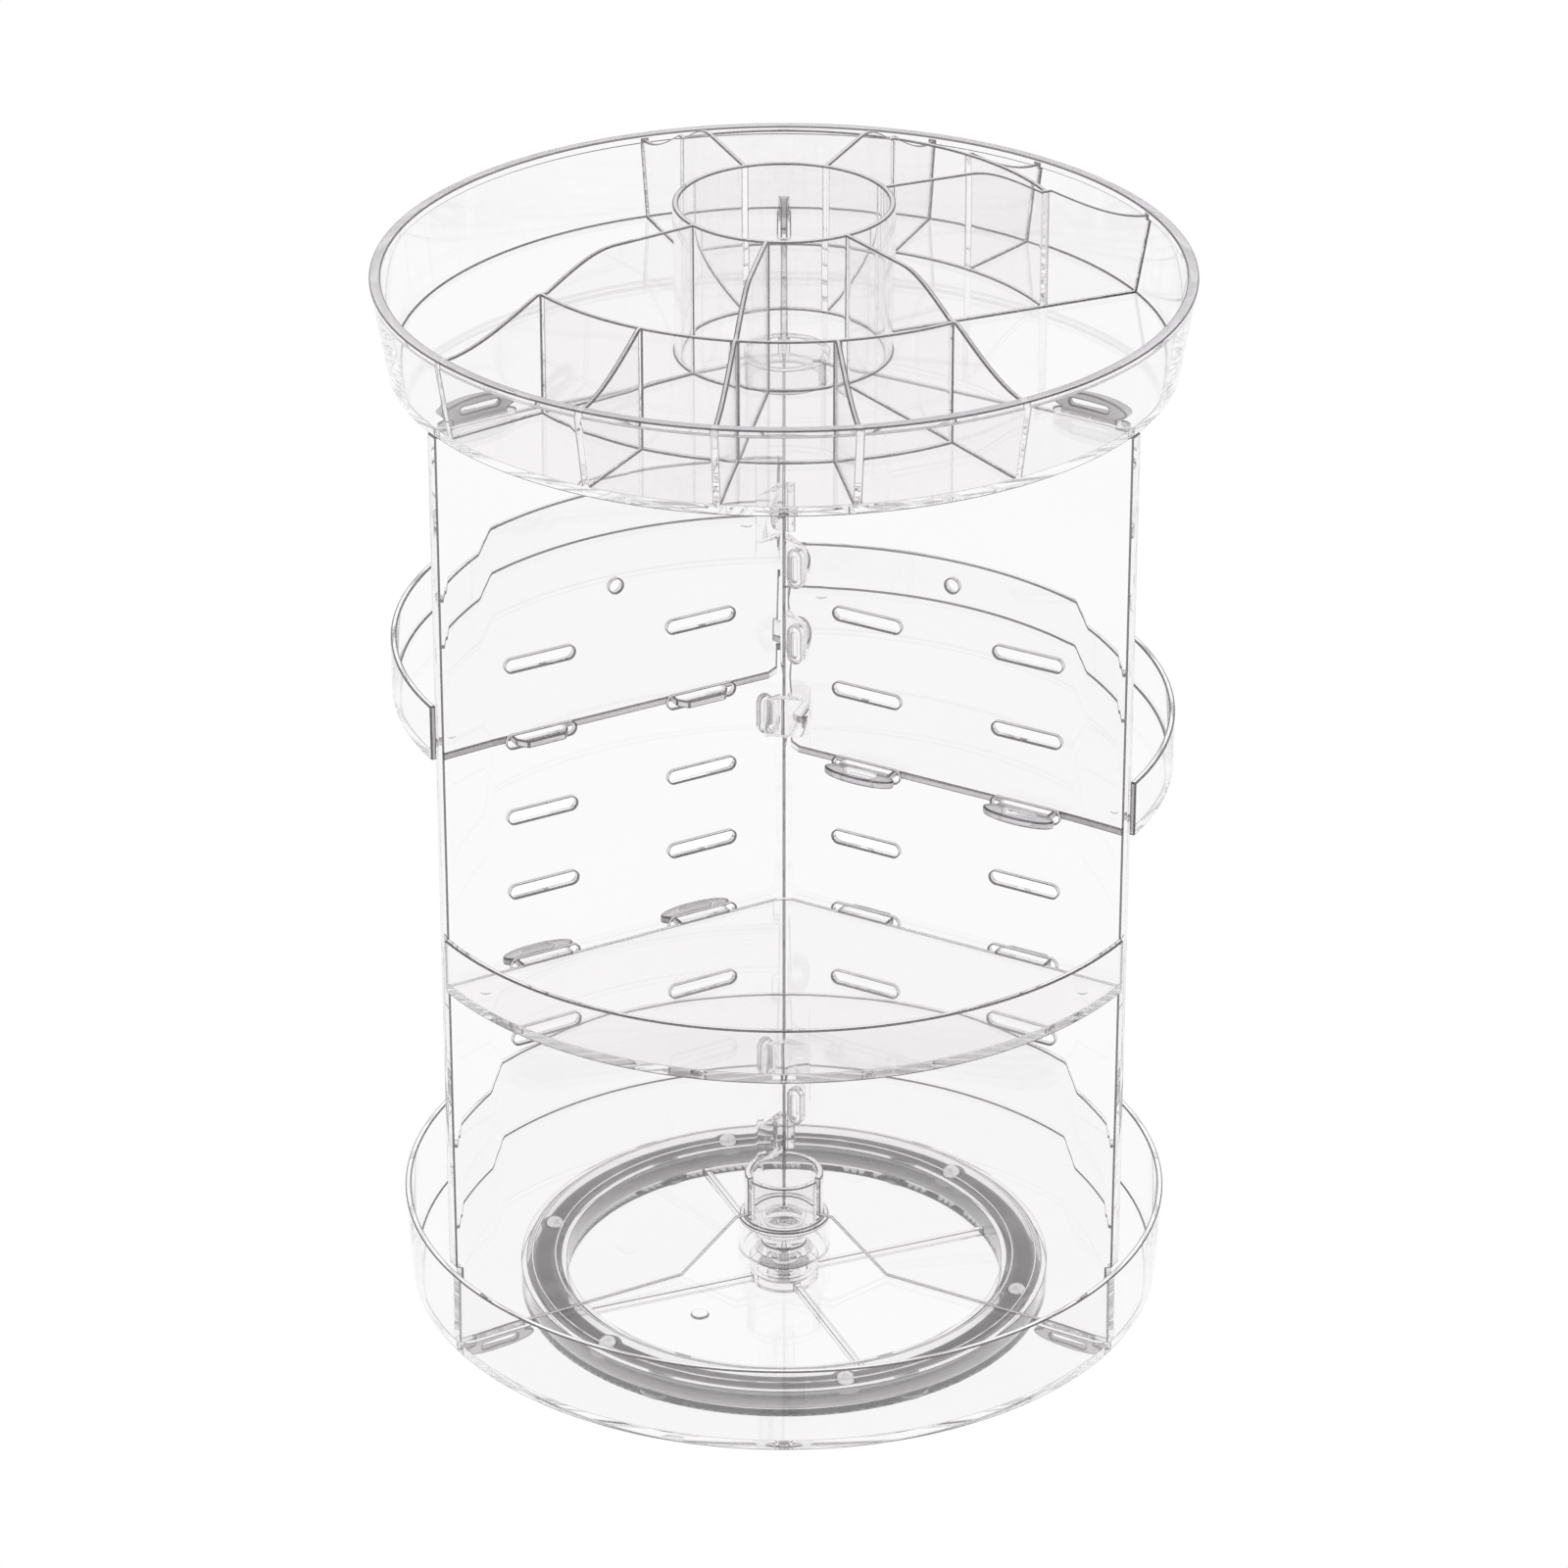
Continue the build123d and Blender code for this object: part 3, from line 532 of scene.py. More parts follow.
def steel_material(name, dark, light, gloss, line_scale, line_depth):
    """Bright steel with fine lines left by turning or grinding."""
    material = bpy.data.materials.new(name)
    material.use_nodes = True
    nodes = material.node_tree.nodes
    links = material.node_tree.links
    shader = nodes["Principled BSDF"]
    shader.inputs["Metallic"].default_value = 1.0
    surface = nodes.new("ShaderNodeGroup")
    surface.node_tree = moulded_surface
    surface.inputs["Wave Scale"].default_value = 200
    surface.inputs["Gloss From"].default_value = gloss[0]
    surface.inputs["Gloss To"].default_value = gloss[1]
    colour = nodes.new("ShaderNodeMix")
    colour.data_type = "RGBA"
    colour.inputs["A"].default_value = (*dark, 1)
    colour.inputs["B"].default_value = (*light, 1)
    place = nodes.new("ShaderNodeTexCoord")
    lines = nodes.new("ShaderNodeTexWave")
    lines.wave_type = "RINGS"
    lines.rings_direction = "Z"
    lines.inputs["Scale"].default_value = line_scale
    lines.inputs["Distortion"].default_value = 1.5
    bump = nodes.new("ShaderNodeBump")
    bump.inputs["Distance"].default_value = line_depth
    links.new(place.outputs["Object"], lines.inputs["Vector"])
    links.new(lines.outputs["Fac"], bump.inputs["Height"])
    links.new(bump.outputs["Normal"], shader.inputs["Normal"])
    links.new(surface.outputs["Wave"], colour.inputs["Factor"])
    links.new(colour.outputs["Result"], shader.inputs["Base Color"])
    links.new(surface.outputs["Roughness"], shader.inputs["Roughness"])
    return material


ball_steel = steel_material("ball_steel", (0.78, 0.78, 0.79), (0.88, 0.88, 0.89), (0.05, 0.12), 900, 0.000002)
bpy.ops.object.select_all(action="DESELECT")
bpy.ops.mesh.primitive_cube_add(size=2 * BALL_RADIUS)
first_ball = bpy.context.object
bpy.ops.object.mode_set(mode="EDIT")
bpy.ops.mesh.select_all(action="SELECT")
bpy.ops.mesh.subdivide(number_cuts=BALL_CUTS)
bpy.ops.transform.tosphere(value=1.0)
bpy.ops.object.mode_set(mode="OBJECT")
drawn_radius = first_ball.data.vertices[0].co.length
bpy.ops.object.mode_set(mode="EDIT")
ball_size = BALL_RADIUS / drawn_radius
bpy.ops.transform.resize(value=(ball_size, ball_size, ball_size), center_override=(0, 0, 0))
bpy.ops.object.mode_set(mode="OBJECT")
first_ball.data.materials.append(ball_steel)
bpy.ops.object.shade_smooth()
for number, azimuth in enumerate(ball_azimuths, 1):
    ball = copied(first_ball, f"bearing_ball_{number}", shift=on_circle(BALL_CIRCLE, azimuth, BALL_HEIGHT))
    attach(ball, "ball_train")
    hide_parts("bearing_balls")
bpy.data.objects.remove(first_ball)


# Base tray: the round tray that turns on the balls and takes the panels' lower ends.
# Clear injection moulding with a sloping rim, the upper ball track under it and three slots in its floor.
BASE_BOTTOM = 0.012
DECK = 0.0145
BASE_TOP = 0.0397
BASE_RADIUS_BOTTOM = 0.1136
BASE_RADIUS_TOP = 0.1153
BASE_WALL = 0.0018
TRACK_BOTTOM = 0.0111
TRACK_HALF = 0.0035
FLOOR_SLOT_CIRCLE = 0.0985
SLOT_LENGTH = 0.022
SLOT_HEIGHT = 0.0037
SLOT_STEPS = 30
GATE_RADIUS = 0.0026
GATE_HEIGHT = 0.0006
GATE_PLACE = (-0.0253, -0.0415, 0)
BASE_ROUND = 0.0004
PANEL_AZIMUTHS = {
    "panel_front_right": radians(-30),
    "panel_back": radians(90),
    "panel_front_left": radians(210),
}


def long_hole(length, width, depth):
    """A long round-ended plug along x, centred on the origin and standing through it."""
    bpy.ops.object.select_all(action="DESELECT")
    bpy.ops.mesh.primitive_cylinder_add(vertices=SLOT_STEPS, radius=width / 2, depth=depth)
    piece = bpy.context.object
    stretch = (length - width) / 2
    for vertex in piece.data.vertices:
        vertex.co.y += stretch if vertex.co.y > 0 else -stretch
    piece.rotation_euler = (0, 0, pi / 2)
    bpy.ops.object.transform_apply(location=True, rotation=True, scale=True)
    return piece


def floor_slots(floor_middle, floor_depth):
    """Plugs for the slots that the panels' end loops pass, one for each panel."""
    plug = long_hole(SLOT_LENGTH, SLOT_HEIGHT, floor_depth)
    plugs = [
        copied(plug, "floor_slot", azimuth, on_circle(FLOOR_SLOT_CIRCLE, azimuth, floor_middle))
        for azimuth in PANEL_AZIMUTHS.values()
    ]
    bpy.data.objects.remove(plug)
    return plugs


base_profile = [
    (PIVOT_BORE, BASE_BOTTOM),
    (BALL_CIRCLE - TRACK_HALF, BASE_BOTTOM),
    (BALL_CIRCLE - TRACK_HALF, TRACK_BOTTOM),
    (BALL_CIRCLE + TRACK_HALF, TRACK_BOTTOM),
    (BALL_CIRCLE + TRACK_HALF, BASE_BOTTOM),
    (BASE_RADIUS_BOTTOM, BASE_BOTTOM),
    (BASE_RADIUS_TOP, BASE_TOP),
    (BASE_RADIUS_TOP - BASE_WALL, BASE_TOP),
    (BASE_RADIUS_BOTTOM - BASE_WALL, DECK),
    (PIVOT_BORE, DECK),
    (PIVOT_BORE, BASE_BOTTOM),
]
gate_profile = [
    (GATE_RADIUS * 0.35, DECK + GATE_HEIGHT / 2),
    (GATE_RADIUS * 0.6, DECK + GATE_HEIGHT),
    (GATE_RADIUS, DECK + GATE_HEIGHT),
    (GATE_RADIUS, DECK - GATE_HEIGHT),
]
base_tray = clear_slots(turned("base_tray_moulding", base_profile, BIG_STEPS), BODY)
gate = turned("gate", gate_profile, PAD_STEPS)
gate_mark = copied(gate, "gate_mark", shift=GATE_PLACE)
bpy.data.objects.remove(gate)
combine(base_tray, [gate_mark], "UNION")
combine(base_tray, floor_slots((BASE_BOTTOM + DECK) / 2, 2 * (DECK - BASE_BOTTOM)), "DIFFERENCE")
finish_clear(base_tray, BASE_ROUND, "base_tray", "carousel")


# Centre hub: the pivot under the base tray, with a round skirt and a slotted socket above it.
# Clear moulding; the panels' lower inner corners slide down into the socket's three slots.
HUB_SEAT = DECK + 0.0001
PIVOT_RADIUS = 0.005
PIVOT_END = 0.0049
HUB_FOOT_RADIUS = 0.009
HUB_FOOT_HEIGHT = 0.0025
HUB_NECK_RADIUS = 0.0067
HUB_DISC_BOTTOM = 0.025
HUB_DISC_TOP = 0.0265
SKIRT_RADIUS = 0.0141
SKIRT_WALL = 0.0015
SOCKET_RADIUS = 0.0125
SOCKET_WALL = 0.002
SOCKET_TOP = 0.041
SOCKET_GAP = 0.0028
SLOT_LIFT = 0.001
SCREW_RADIUS = 0.00175
SCREW_TOP = 0.0159
SCREW_GAP = 0.00005
AXIS_RADIUS = 0.0003
HUB_ROUND = 0.00035


def socket_slots(radius, wall, bottom, top):
    """Blocks for the three slots that the panels stand in."""
    middle = (radius - wall / 2, 0, (bottom + top) / 2)
    return [
        block((2 * wall, SOCKET_GAP, top - bottom), middle, azimuth) for azimuth in PANEL_AZIMUTHS.values()
    ]


hub_profile = [
    (AXIS_RADIUS, SCREW_TOP),
    (SCREW_RADIUS + SCREW_GAP, SCREW_TOP),
    (SCREW_RADIUS + SCREW_GAP, PIVOT_END),
    (PIVOT_RADIUS, PIVOT_END),
    (PIVOT_RADIUS, HUB_SEAT),
    (HUB_FOOT_RADIUS, HUB_SEAT),
    (HUB_NECK_RADIUS, DECK + HUB_FOOT_HEIGHT),
    (HUB_NECK_RADIUS, HUB_DISC_BOTTOM),
    (SKIRT_RADIUS - SKIRT_WALL, HUB_DISC_BOTTOM),
    (SKIRT_RADIUS - SKIRT_WALL, HUB_SEAT),
    (SKIRT_RADIUS, HUB_SEAT),
    (SKIRT_RADIUS, HUB_DISC_TOP),
    (SOCKET_RADIUS, HUB_DISC_TOP),
    (SOCKET_RADIUS, SOCKET_TOP),
    (SOCKET_RADIUS - SOCKET_WALL, SOCKET_TOP),
    (SOCKET_RADIUS - SOCKET_WALL, HUB_DISC_TOP),
    (AXIS_RADIUS, HUB_DISC_TOP),
]
hub = clear_slots(turned("hub_moulding", hub_profile, SMALL_STEPS), BODY)
slot_floor = HUB_DISC_TOP + SLOT_LIFT
combine(hub, socket_slots(SOCKET_RADIUS, SOCKET_WALL, slot_floor, SOCKET_TOP + SOCKET_WALL), "DIFFERENCE")
finish_clear(hub, HUB_ROUND, "centre_hub", "carousel")


# Pivot washer and screw: they hold the hub down in the foot ring's bore.
# Zinc-plated steel, the screw with a pan head and a cross recess, driven up from below.
WASHER_RADIUS = 0.0075
WASHER_BOTTOM = 0.0039
SCREW_HEAD_BOTTOM = 0.0017
SCREW_HEAD_RADIUS = 0.0035
SCREW_HEAD_EDGE = 0.0007
DRIVE_LENGTH = 0.0044
DRIVE_WIDTH = 0.001
DRIVE_DEPTH = 0.0012
THREAD_PITCH = 0.0012
THREAD_DEPTH = 0.0003
METAL_CORNER = 0.0002
washer_profile = [
    (SCREW_RADIUS + SCREW_GAP, WASHER_BOTTOM),
    (WASHER_RADIUS - METAL_CORNER, WASHER_BOTTOM),
    (WASHER_RADIUS, WASHER_BOTTOM + METAL_CORNER),
    (WASHER_RADIUS, PIVOT_END - METAL_CORNER),
    (WASHER_RADIUS - METAL_CORNER, PIVOT_END),
    (SCREW_RADIUS + SCREW_GAP, PIVOT_END),
    (SCREW_RADIUS + SCREW_GAP, WASHER_BOTTOM),
]
screw_profile = [
    (SCREW_HEAD_RADIUS * 0.7, SCREW_HEAD_BOTTOM),
    (SCREW_HEAD_RADIUS - METAL_CORNER, SCREW_HEAD_BOTTOM + SCREW_HEAD_EDGE),
    (SCREW_HEAD_RADIUS, WASHER_BOTTOM - SCREW_HEAD_EDGE),
    (SCREW_HEAD_RADIUS, WASHER_BOTTOM),
    (SCREW_RADIUS, WASHER_BOTTOM),
]
thread_start = PIVOT_END + THREAD_PITCH
for turn_number in range(int((SCREW_TOP - thread_start) / THREAD_PITCH) - 1):
    thread_base = thread_start + turn_number * THREAD_PITCH
    screw_profile.append((SCREW_RADIUS, thread_base))
    screw_profile.append((SCREW_RADIUS - THREAD_DEPTH, thread_base + THREAD_PITCH / 2))
screw_profile.append((SCREW_RADIUS, SCREW_TOP - THREAD_PITCH))
screw_profile.append((SCREW_RADIUS / 3, WASHER_BOTTOM + 0.011))
plated_steel = steel_material("plated_steel", (0.6, 0.6, 0.61), (0.72, 0.72, 0.74), (0.2, 0.32), 700, 0.00001)
washer = turned("washer", washer_profile, SMALL_STEPS)
screw = turned("screw", screw_profile, SMALL_STEPS)
drive_middle = (0, 0, SCREW_HEAD_BOTTOM)
combine(
    screw,
    [block((DRIVE_LENGTH, DRIVE_WIDTH, 2 * DRIVE_DEPTH), drive_middle, turn) for turn in (0, pi / 2)],
    "DIFFERENCE",
)
for fixing, node in ((washer, "pivot_washer"), (screw, "pivot_screw")):
    take_up(fixing)
    fixing.data.materials.clear()
    fixing.data.materials.append(plated_steel)
    bpy.ops.object.shade_smooth_by_angle(angle=SHARP_ANGLE)
    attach(fixing, "carousel")
    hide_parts(node)


# Upright panels: three clear plates that stand on the base tray, meet at the axis and carry all above.
# Injection moulded, with two columns of slots, loops on both ends, a swollen outer margin and snap clips
# near the axis that pass through the next panel.
PANEL_GAP = 0.0001
PANEL_BOTTOM = DECK + PANEL_GAP
PANEL_TOP = 0.3086 - PANEL_GAP
PANEL_HALF = 0.0011
PANEL_INNER = 0.0022
MITRE_GAP = 0.00005
PANEL_OUTER = 0.1135
MARGIN_BENDS = [(0.0955, 0.1, 0.072, 5), (0.1102, 0.1112, 0.05, 2)]
TRIM = 0.001
NOTCH_RADIUS = 0.1115
NOTCH_TOP = 0.04
NOTCH_RISE = 0.0009
CORNER_BOTTOM_RADIUS = 0.036
CORNER_TOP_RADIUS = 0.017
CORNER_TOP = 0.029
KEY_HOLE_RADIUS = 0.002
KEY_HOLE_PLACE = (0.056, 0, 0.2495)
SLOT_COLUMNS = (0.0282, 0.0809)
SLOT_ROWS = 6
SLOT_FIRST = 0.2322
SLOT_PITCH = 0.02415
LOOP_LENGTH = 0.0228
LOOP_NECK = 0.017
LOOP_EYE_LENGTH = 0.012
LOOP_EYE_WIDTH = 0.002
LOOP_STEPS = 56
TOP_LOOP_DEPTH = 0.0066
BASE_LOOP_DEPTH = 0.0052
SNAP_GAP = 0.0002
FLOOR_THICK = 0.0025
LOOP_REACH = FLOOR_THICK + SNAP_GAP
CLIP_HEIGHTS = {
    "panel_back": (0.2298, 0.2056, 0.0515),
    "panel_front_right": (0.1815, 0.065),
    "panel_front_left": (0.2435, 0.0378),
}
CLIP_FIT = 0.0003
CLIP_RADIUS = 0.0055
CLIP_HEIGHT = 0.0125
CLIP_NECK_HEIGHT = 0.0104
CLIP_NECK_WIDTH = 0.0028
CLIP_HEAD_WIDTH = 0.005
CLIP_HEAD_THICK = 0.0024
CLIP_EYE_HEIGHT = 0.008
CLIP_EYE_WIDTH = 0.0016
CLIP_WEDGE_RADIUS = 0.009
CLIP_LEDGE = 0.0007
PANEL_ROUND = 0.0005
CUT_DEPTH = 0.02
THIRD_TURN = radians(120)
MITRE_TURN = radians(60)
HEAD_TURN = radians(150)


margin_kinks = [
    (start + (end - start) * (step + 0.5) / steps, slope / steps)
    for start, end, slope, steps in MARGIN_BENDS
    for step in range(steps)
]


def margin_half(radius):
    """Half the panel's thickness at a radius: flat, then a wedge that steepens again before its end."""
    return PANEL_HALF + sum(turn * max(radius - place, 0) for place, turn in margin_kinks)


def flat_shape(points, thickness, frame_matrix):
    """A flat outline with a thickness, centred on its plane and set in place by a matrix."""
    bpy.ops.object.select_all(action="DESELECT")
    bpy.ops.mesh.primitive_circle_add(vertices=len(points), fill_type="NGON")
    piece = bpy.context.object
    for vertex, (x, y) in zip(piece.data.vertices, points):
        vertex.co = (x, y, -thickness / 2)
    bpy.ops.object.mode_set(mode="EDIT")
    bpy.ops.mesh.select_all(action="SELECT")
    bpy.ops.mesh.extrude_region_move(TRANSFORM_OT_translate={"value": (0, 0, thickness)})
    bpy.ops.mesh.select_all(action="SELECT")
    bpy.ops.mesh.normals_make_consistent(inside=False)
    bpy.ops.object.mode_set(mode="OBJECT")
    return set_in_place(piece, frame_matrix)


def set_in_place(piece, frame_matrix):
    """Moves a piece's mesh into a frame, leaving its object at the origin."""
    take_up(piece)
    piece.matrix_world = frame_matrix
    bpy.context.view_layer.update()
    bpy.ops.object.transform_apply(location=True, rotation=True, scale=True)
    return piece


def frame_at(origin, along, outwards):
    """A frame with x along an edge, y pointing out of it and z across the plate."""
    x = Vector(along).normalized()
    y = Vector(outwards).normalized()
    turn = Matrix((x, y, x.cross(y))).transposed()
    return Matrix.Translation(Vector(origin)) @ turn.to_4x4()


def loop_outline(reach, depth):
    """Outline of an oval snap loop, from one root of its neck to the other."""
    middle = reach + depth / 2
    join = acos(LOOP_NECK / LOOP_LENGTH)
    outline = [(-LOOP_NECK / 2, 0)]
    for step in range(LOOP_STEPS + 1):
        angle = pi + join - (pi + 2 * join) * step / LOOP_STEPS
        outline.append((LOOP_LENGTH / 2 * cos(angle), middle + depth / 2 * sin(angle)))
    outline.append((LOOP_NECK / 2, 0))
    return outline


def margin_sheet():
    """A sheet in the x-z plane, larger than the panel all round and thickened to the swell of its margin."""
    stations = [-2 * TRIM, *(place for place, _ in margin_kinks), PANEL_OUTER + TRIM]
    bottom = PANEL_BOTTOM - FLOOR_THICK - BASE_LOOP_DEPTH - TRIM
    top = PANEL_TOP + FLOOR_THICK + TOP_LOOP_DEPTH + TRIM
    bpy.ops.object.select_all(action="DESELECT")
    bpy.ops.mesh.primitive_grid_add(x_subdivisions=len(stations) - 1, y_subdivisions=1, size=2)
    sheet = bpy.context.object
    for number, vertex in enumerate(sheet.data.vertices):
        vertex.co = (stations[number % len(stations)], 0, bottom if vertex.co.y < 0 else top)
    thicken = sheet.modifiers.new("thickness", "SOLIDIFY")
    thicken.thickness = 2 * PANEL_HALF
    thicken.offset = 0
    bpy.ops.object.modifier_apply(modifier=thicken.name)
    for vertex in sheet.data.vertices:
        vertex.co.y = margin_half(vertex.co.x) * (1 if vertex.co.y > 0 else -1)
    bpy.ops.object.mode_set(mode="EDIT")
    bpy.ops.mesh.select_all(action="SELECT")
    bpy.ops.mesh.normals_make_consistent(inside=False)
    bpy.ops.object.mode_set(mode="OBJECT")
    return sheet


def split_faces(piece, point, normal, cut_off=False):
    """Draws a straight line across a piece's faces, so that the faces round each slot stay simple.

    The part that the normal points to can be cut off there and the end closed.
    """
    take_up(piece)
    bpy.ops.object.mode_set(mode="EDIT")
    bpy.ops.mesh.select_all(action="SELECT")
    bpy.ops.mesh.bisect(
        plane_co=point, plane_no=normal, threshold=MERGE_GAP, clear_outer=cut_off, use_fill=cut_off
    )
    bpy.ops.mesh.select_all(action="SELECT")
    bpy.ops.mesh.normals_make_consistent(inside=False)
    bpy.ops.object.mode_set(mode="OBJECT")


UPRIGHT = frame_at((0, 0, 0), (1, 0, 0), (0, 0, 1))
panel_outline = [
    (-TRIM, CORNER_TOP),
    (CORNER_TOP_RADIUS, CORNER_TOP),
    (CORNER_BOTTOM_RADIUS, PANEL_BOTTOM),
    *((FLOOR_SLOT_CIRCLE + x, PANEL_BOTTOM - y) for x, y in loop_outline(LOOP_REACH, BASE_LOOP_DEPTH)),
    (NOTCH_RADIUS, PANEL_BOTTOM),
    (NOTCH_RADIUS, NOTCH_TOP),
    (PANEL_OUTER, NOTCH_TOP + NOTCH_RISE),
    (PANEL_OUTER, PANEL_TOP),
    *((FLOOR_SLOT_CIRCLE - x, PANEL_TOP + y) for x, y in loop_outline(LOOP_REACH, TOP_LOOP_DEPTH)),
    (-TRIM, PANEL_TOP),
]
plate = clear_slots(margin_sheet(), BODY)
combine(plate, [flat_shape(panel_outline, CUT_DEPTH, UPRIGHT)], "INTERSECT")
row_heights = [SLOT_FIRST - row * SLOT_PITCH for row in range(SLOT_ROWS)]
clip_heights = [DECK + height for heights in CLIP_HEIGHTS.values() for height in heights]
loop_roots = [PANEL_TOP + LOOP_REACH, PANEL_BOTTOM - LOOP_REACH]
loop_middles = [loop_roots[0] + TOP_LOOP_DEPTH / 2, loop_roots[1] - BASE_LOOP_DEPTH / 2]
for side in (-1, 1):
    split_faces(plate, (MITRE_GAP, 0, 0), (-sin(MITRE_TURN), side * cos(MITRE_TURN), 0), cut_off=True)
split_faces(plate, (CLIP_WEDGE_RADIUS + TRIM, 0, 0), (1, 0, 0))
for height in row_heights + clip_heights + loop_roots + loop_middles:
    split_faces(plate, (0, 0, height), (0, 0, 1))
cuts = []
for height in loop_middles:
    eye = long_hole(LOOP_EYE_LENGTH, LOOP_EYE_WIDTH, CUT_DEPTH)
    cuts.append(set_in_place(eye, frame_at((FLOOR_SLOT_CIRCLE, 0, height), (1, 0, 0), (0, 0, 1))))
slot_plug = long_hole(SLOT_LENGTH, SLOT_HEIGHT, CUT_DEPTH)
for column in SLOT_COLUMNS:
    for height in row_heights:
        plug = copied(slot_plug, "slot_plug")
        cuts.append(set_in_place(plug, frame_at((column, 0, height), (1, 0, 0), (0, 0, 1))))
bpy.data.objects.remove(slot_plug)
bpy.ops.object.select_all(action="DESELECT")
bpy.ops.mesh.primitive_cylinder_add(vertices=PAD_STEPS, radius=KEY_HOLE_RADIUS, depth=CUT_DEPTH)
cuts.append(set_in_place(bpy.context.object, frame_at(KEY_HOLE_PLACE, (1, 0, 0), (0, 0, 1))))
combine(plate, cuts, "DIFFERENCE", tidy=False)
# The loops beyond the floors take the grey side tint, which is painted shade.
for polygon in plate.data.polygons:
    beyond = max(polygon.center.z - PANEL_TOP, PANEL_BOTTOM - polygon.center.z)
    if beyond > FLOOR_THICK:
        polygon.material_index = SIDE


def clip_hole(height):
    """The upright slot near the axis that the next panel's clip passes."""
    hole = long_hole(CLIP_NECK_HEIGHT + 2 * CLIP_FIT, CLIP_NECK_WIDTH + 2 * CLIP_FIT, CUT_DEPTH)
    return set_in_place(hole, frame_at((CLIP_RADIUS, 0, DECK + height), (0, 0, 1), (1, 0, 0)))


def clip(height):
    """A wedge in the corner beside the next panel clockwise, with a snap head on that panel's far side."""
    along = Vector((cos(-THIRD_TURN), sin(-THIRD_TURN), 0))
    through = Vector((along.y, -along.x, 0))
    face = PANEL_HALF + SNAP_GAP / 4
    middle = Vector((0, 0, DECK + height))
    near = along * (CLIP_RADIUS - CLIP_NECK_WIDTH / 2 - CLIP_LEDGE) - through * face
    far = along * (CLIP_RADIUS + CLIP_NECK_WIDTH / 2 + CLIP_LEDGE) - through * face
    wedge = [(PANEL_INNER, 0), (CLIP_WEDGE_RADIUS, 0), (CLIP_WEDGE_RADIUS, -PANEL_HALF), far.xy, near.xy, (PANEL_INNER, -PANEL_HALF)]
    parts = [flat_shape(wedge, CLIP_HEIGHT, Matrix.Translation(middle))]
    seat = middle + along * CLIP_RADIUS - through * face
    neck_length = 2 * PANEL_HALF + 2 * SNAP_GAP
    upright = frame_at((0, 0, 0), (0, 0, 1), along).to_3x3().to_4x4()
    neck = long_hole(CLIP_NECK_HEIGHT, CLIP_NECK_WIDTH, neck_length + CLIP_HEAD_THICK)
    neck_middle = seat + through * (neck_length / 2 + CLIP_HEAD_THICK / 2 - SNAP_GAP)
    parts.append(set_in_place(neck, Matrix.Translation(neck_middle) @ upright))
    head = long_hole(CLIP_HEIGHT, CLIP_HEAD_WIDTH, CLIP_HEAD_THICK)
    head_middle = seat + through * (neck_length + CLIP_HEAD_THICK / 2)
    parts.append(set_in_place(head, Matrix.Translation(head_middle) @ upright))
    eye = long_hole(CLIP_EYE_HEIGHT, CLIP_EYE_WIDTH, CLIP_HEAD_THICK)
    eye_middle = seat + through * (neck_length + CLIP_HEAD_THICK)
    set_in_place(eye, Matrix.Translation(eye_middle) @ upright)
    whole = combine(parts[0], parts[1:], "UNION")
    return combine(whole, [eye], "DIFFERENCE")


panel_names = list(PANEL_AZIMUTHS)
for number, name in enumerate(panel_names):
    panel = copied(plate, f"{name}_moulding")
    neighbour = panel_names[(number + 1) % len(panel_names)]
    combine(panel, [clip_hole(height) for height in CLIP_HEIGHTS[neighbour]], "DIFFERENCE", tidy=False)
    combine(panel, [clip(height) for height in CLIP_HEIGHTS[name]], "UNION", tidy=False)
    panel.rotation_euler = (0, 0, PANEL_AZIMUTHS[name])
    take_up(panel)
    bpy.ops.object.transform_apply(location=True, rotation=True, scale=True)
    finish_clear(panel, PANEL_ROUND, name, "carousel", inner_rounds=False)
    # Near the axis the clip heads take the grey side tint and the other rounded edges lose the dark edge tint:
    # both tints are painted shade.
    through = Vector((cos(PANEL_AZIMUTHS[name] + HEAD_TURN), sin(PANEL_AZIMUTHS[name] + HEAD_TURN), 0))
    for polygon in panel.data.polygons:
        reach = polygon.center.xy.length
        if polygon.material_index != EDGE or reach > CLIP_WEDGE_RADIUS + CLIP_FIT:
            continue
        if polygon.center.dot(through) > PANEL_HALF + SNAP_GAP:
            polygon.material_index = SIDE
        elif reach > PANEL_INNER or polygon.center.y > -PANEL_HALF / 2:
            polygon.material_index = BODY
bpy.data.objects.remove(plate)


# Sector trays: three shallow shelves that hang between the panels at different heights.
# Clear moulding with a rim on the outer arc, two snap loops on one side and two tongues on the other.
SHELF_AZIMUTHS = {"tray_front": radians(270), "tray_left": radians(150), "tray_right": radians(30)}
SHELF_ROWS = {"tray_front": 5, "tray_left": 2, "tray_right": 3}
SHELF_RADIUS = 0.1148
SHELF_INNER = 0.004
SHELF_SIDE = 0.0025
SHELF_HEIGHT = 0.017
SHELF_FLOOR = 0.0023
SHELF_WALL = 0.0018
SHELF_DROP = 0.0013
LOOP_DEPTH = 0.0074
SHELF_EYE_LENGTH = 0.0105
SHELF_EYE_WIDTH = 0.003
TONGUE_LENGTH = 0.0032
TONGUE_TAPER = 0.0024
STUD_RADIUS = 0.0024
STUD_HEIGHT = 0.0004
STUD_INSET = 0.009
STUD_SIDE = 0.012
SHELF_ROUND = 0.0005
CENTRE_RADIUS = 0.001
OUTLINE_RADIUS = 0.15
SIDE_MARGIN = 0.00001


def side_frame(side):
    """Directions along one of a shelf's straight sides and away from the shelf."""
    along = Vector((cos(side * THIRD_TURN / 2), sin(side * THIRD_TURN / 2), 0))
    return along, Vector((-along.y, along.x, 0)) * side


def side_points(side, column, points):
    """Outline points beside a shelf's straight side, given along and away from a column of slots."""
    along, away = side_frame(side)
    return [(along * (column + x) + away * (y - SHELF_SIDE)).xy for x, y in points]


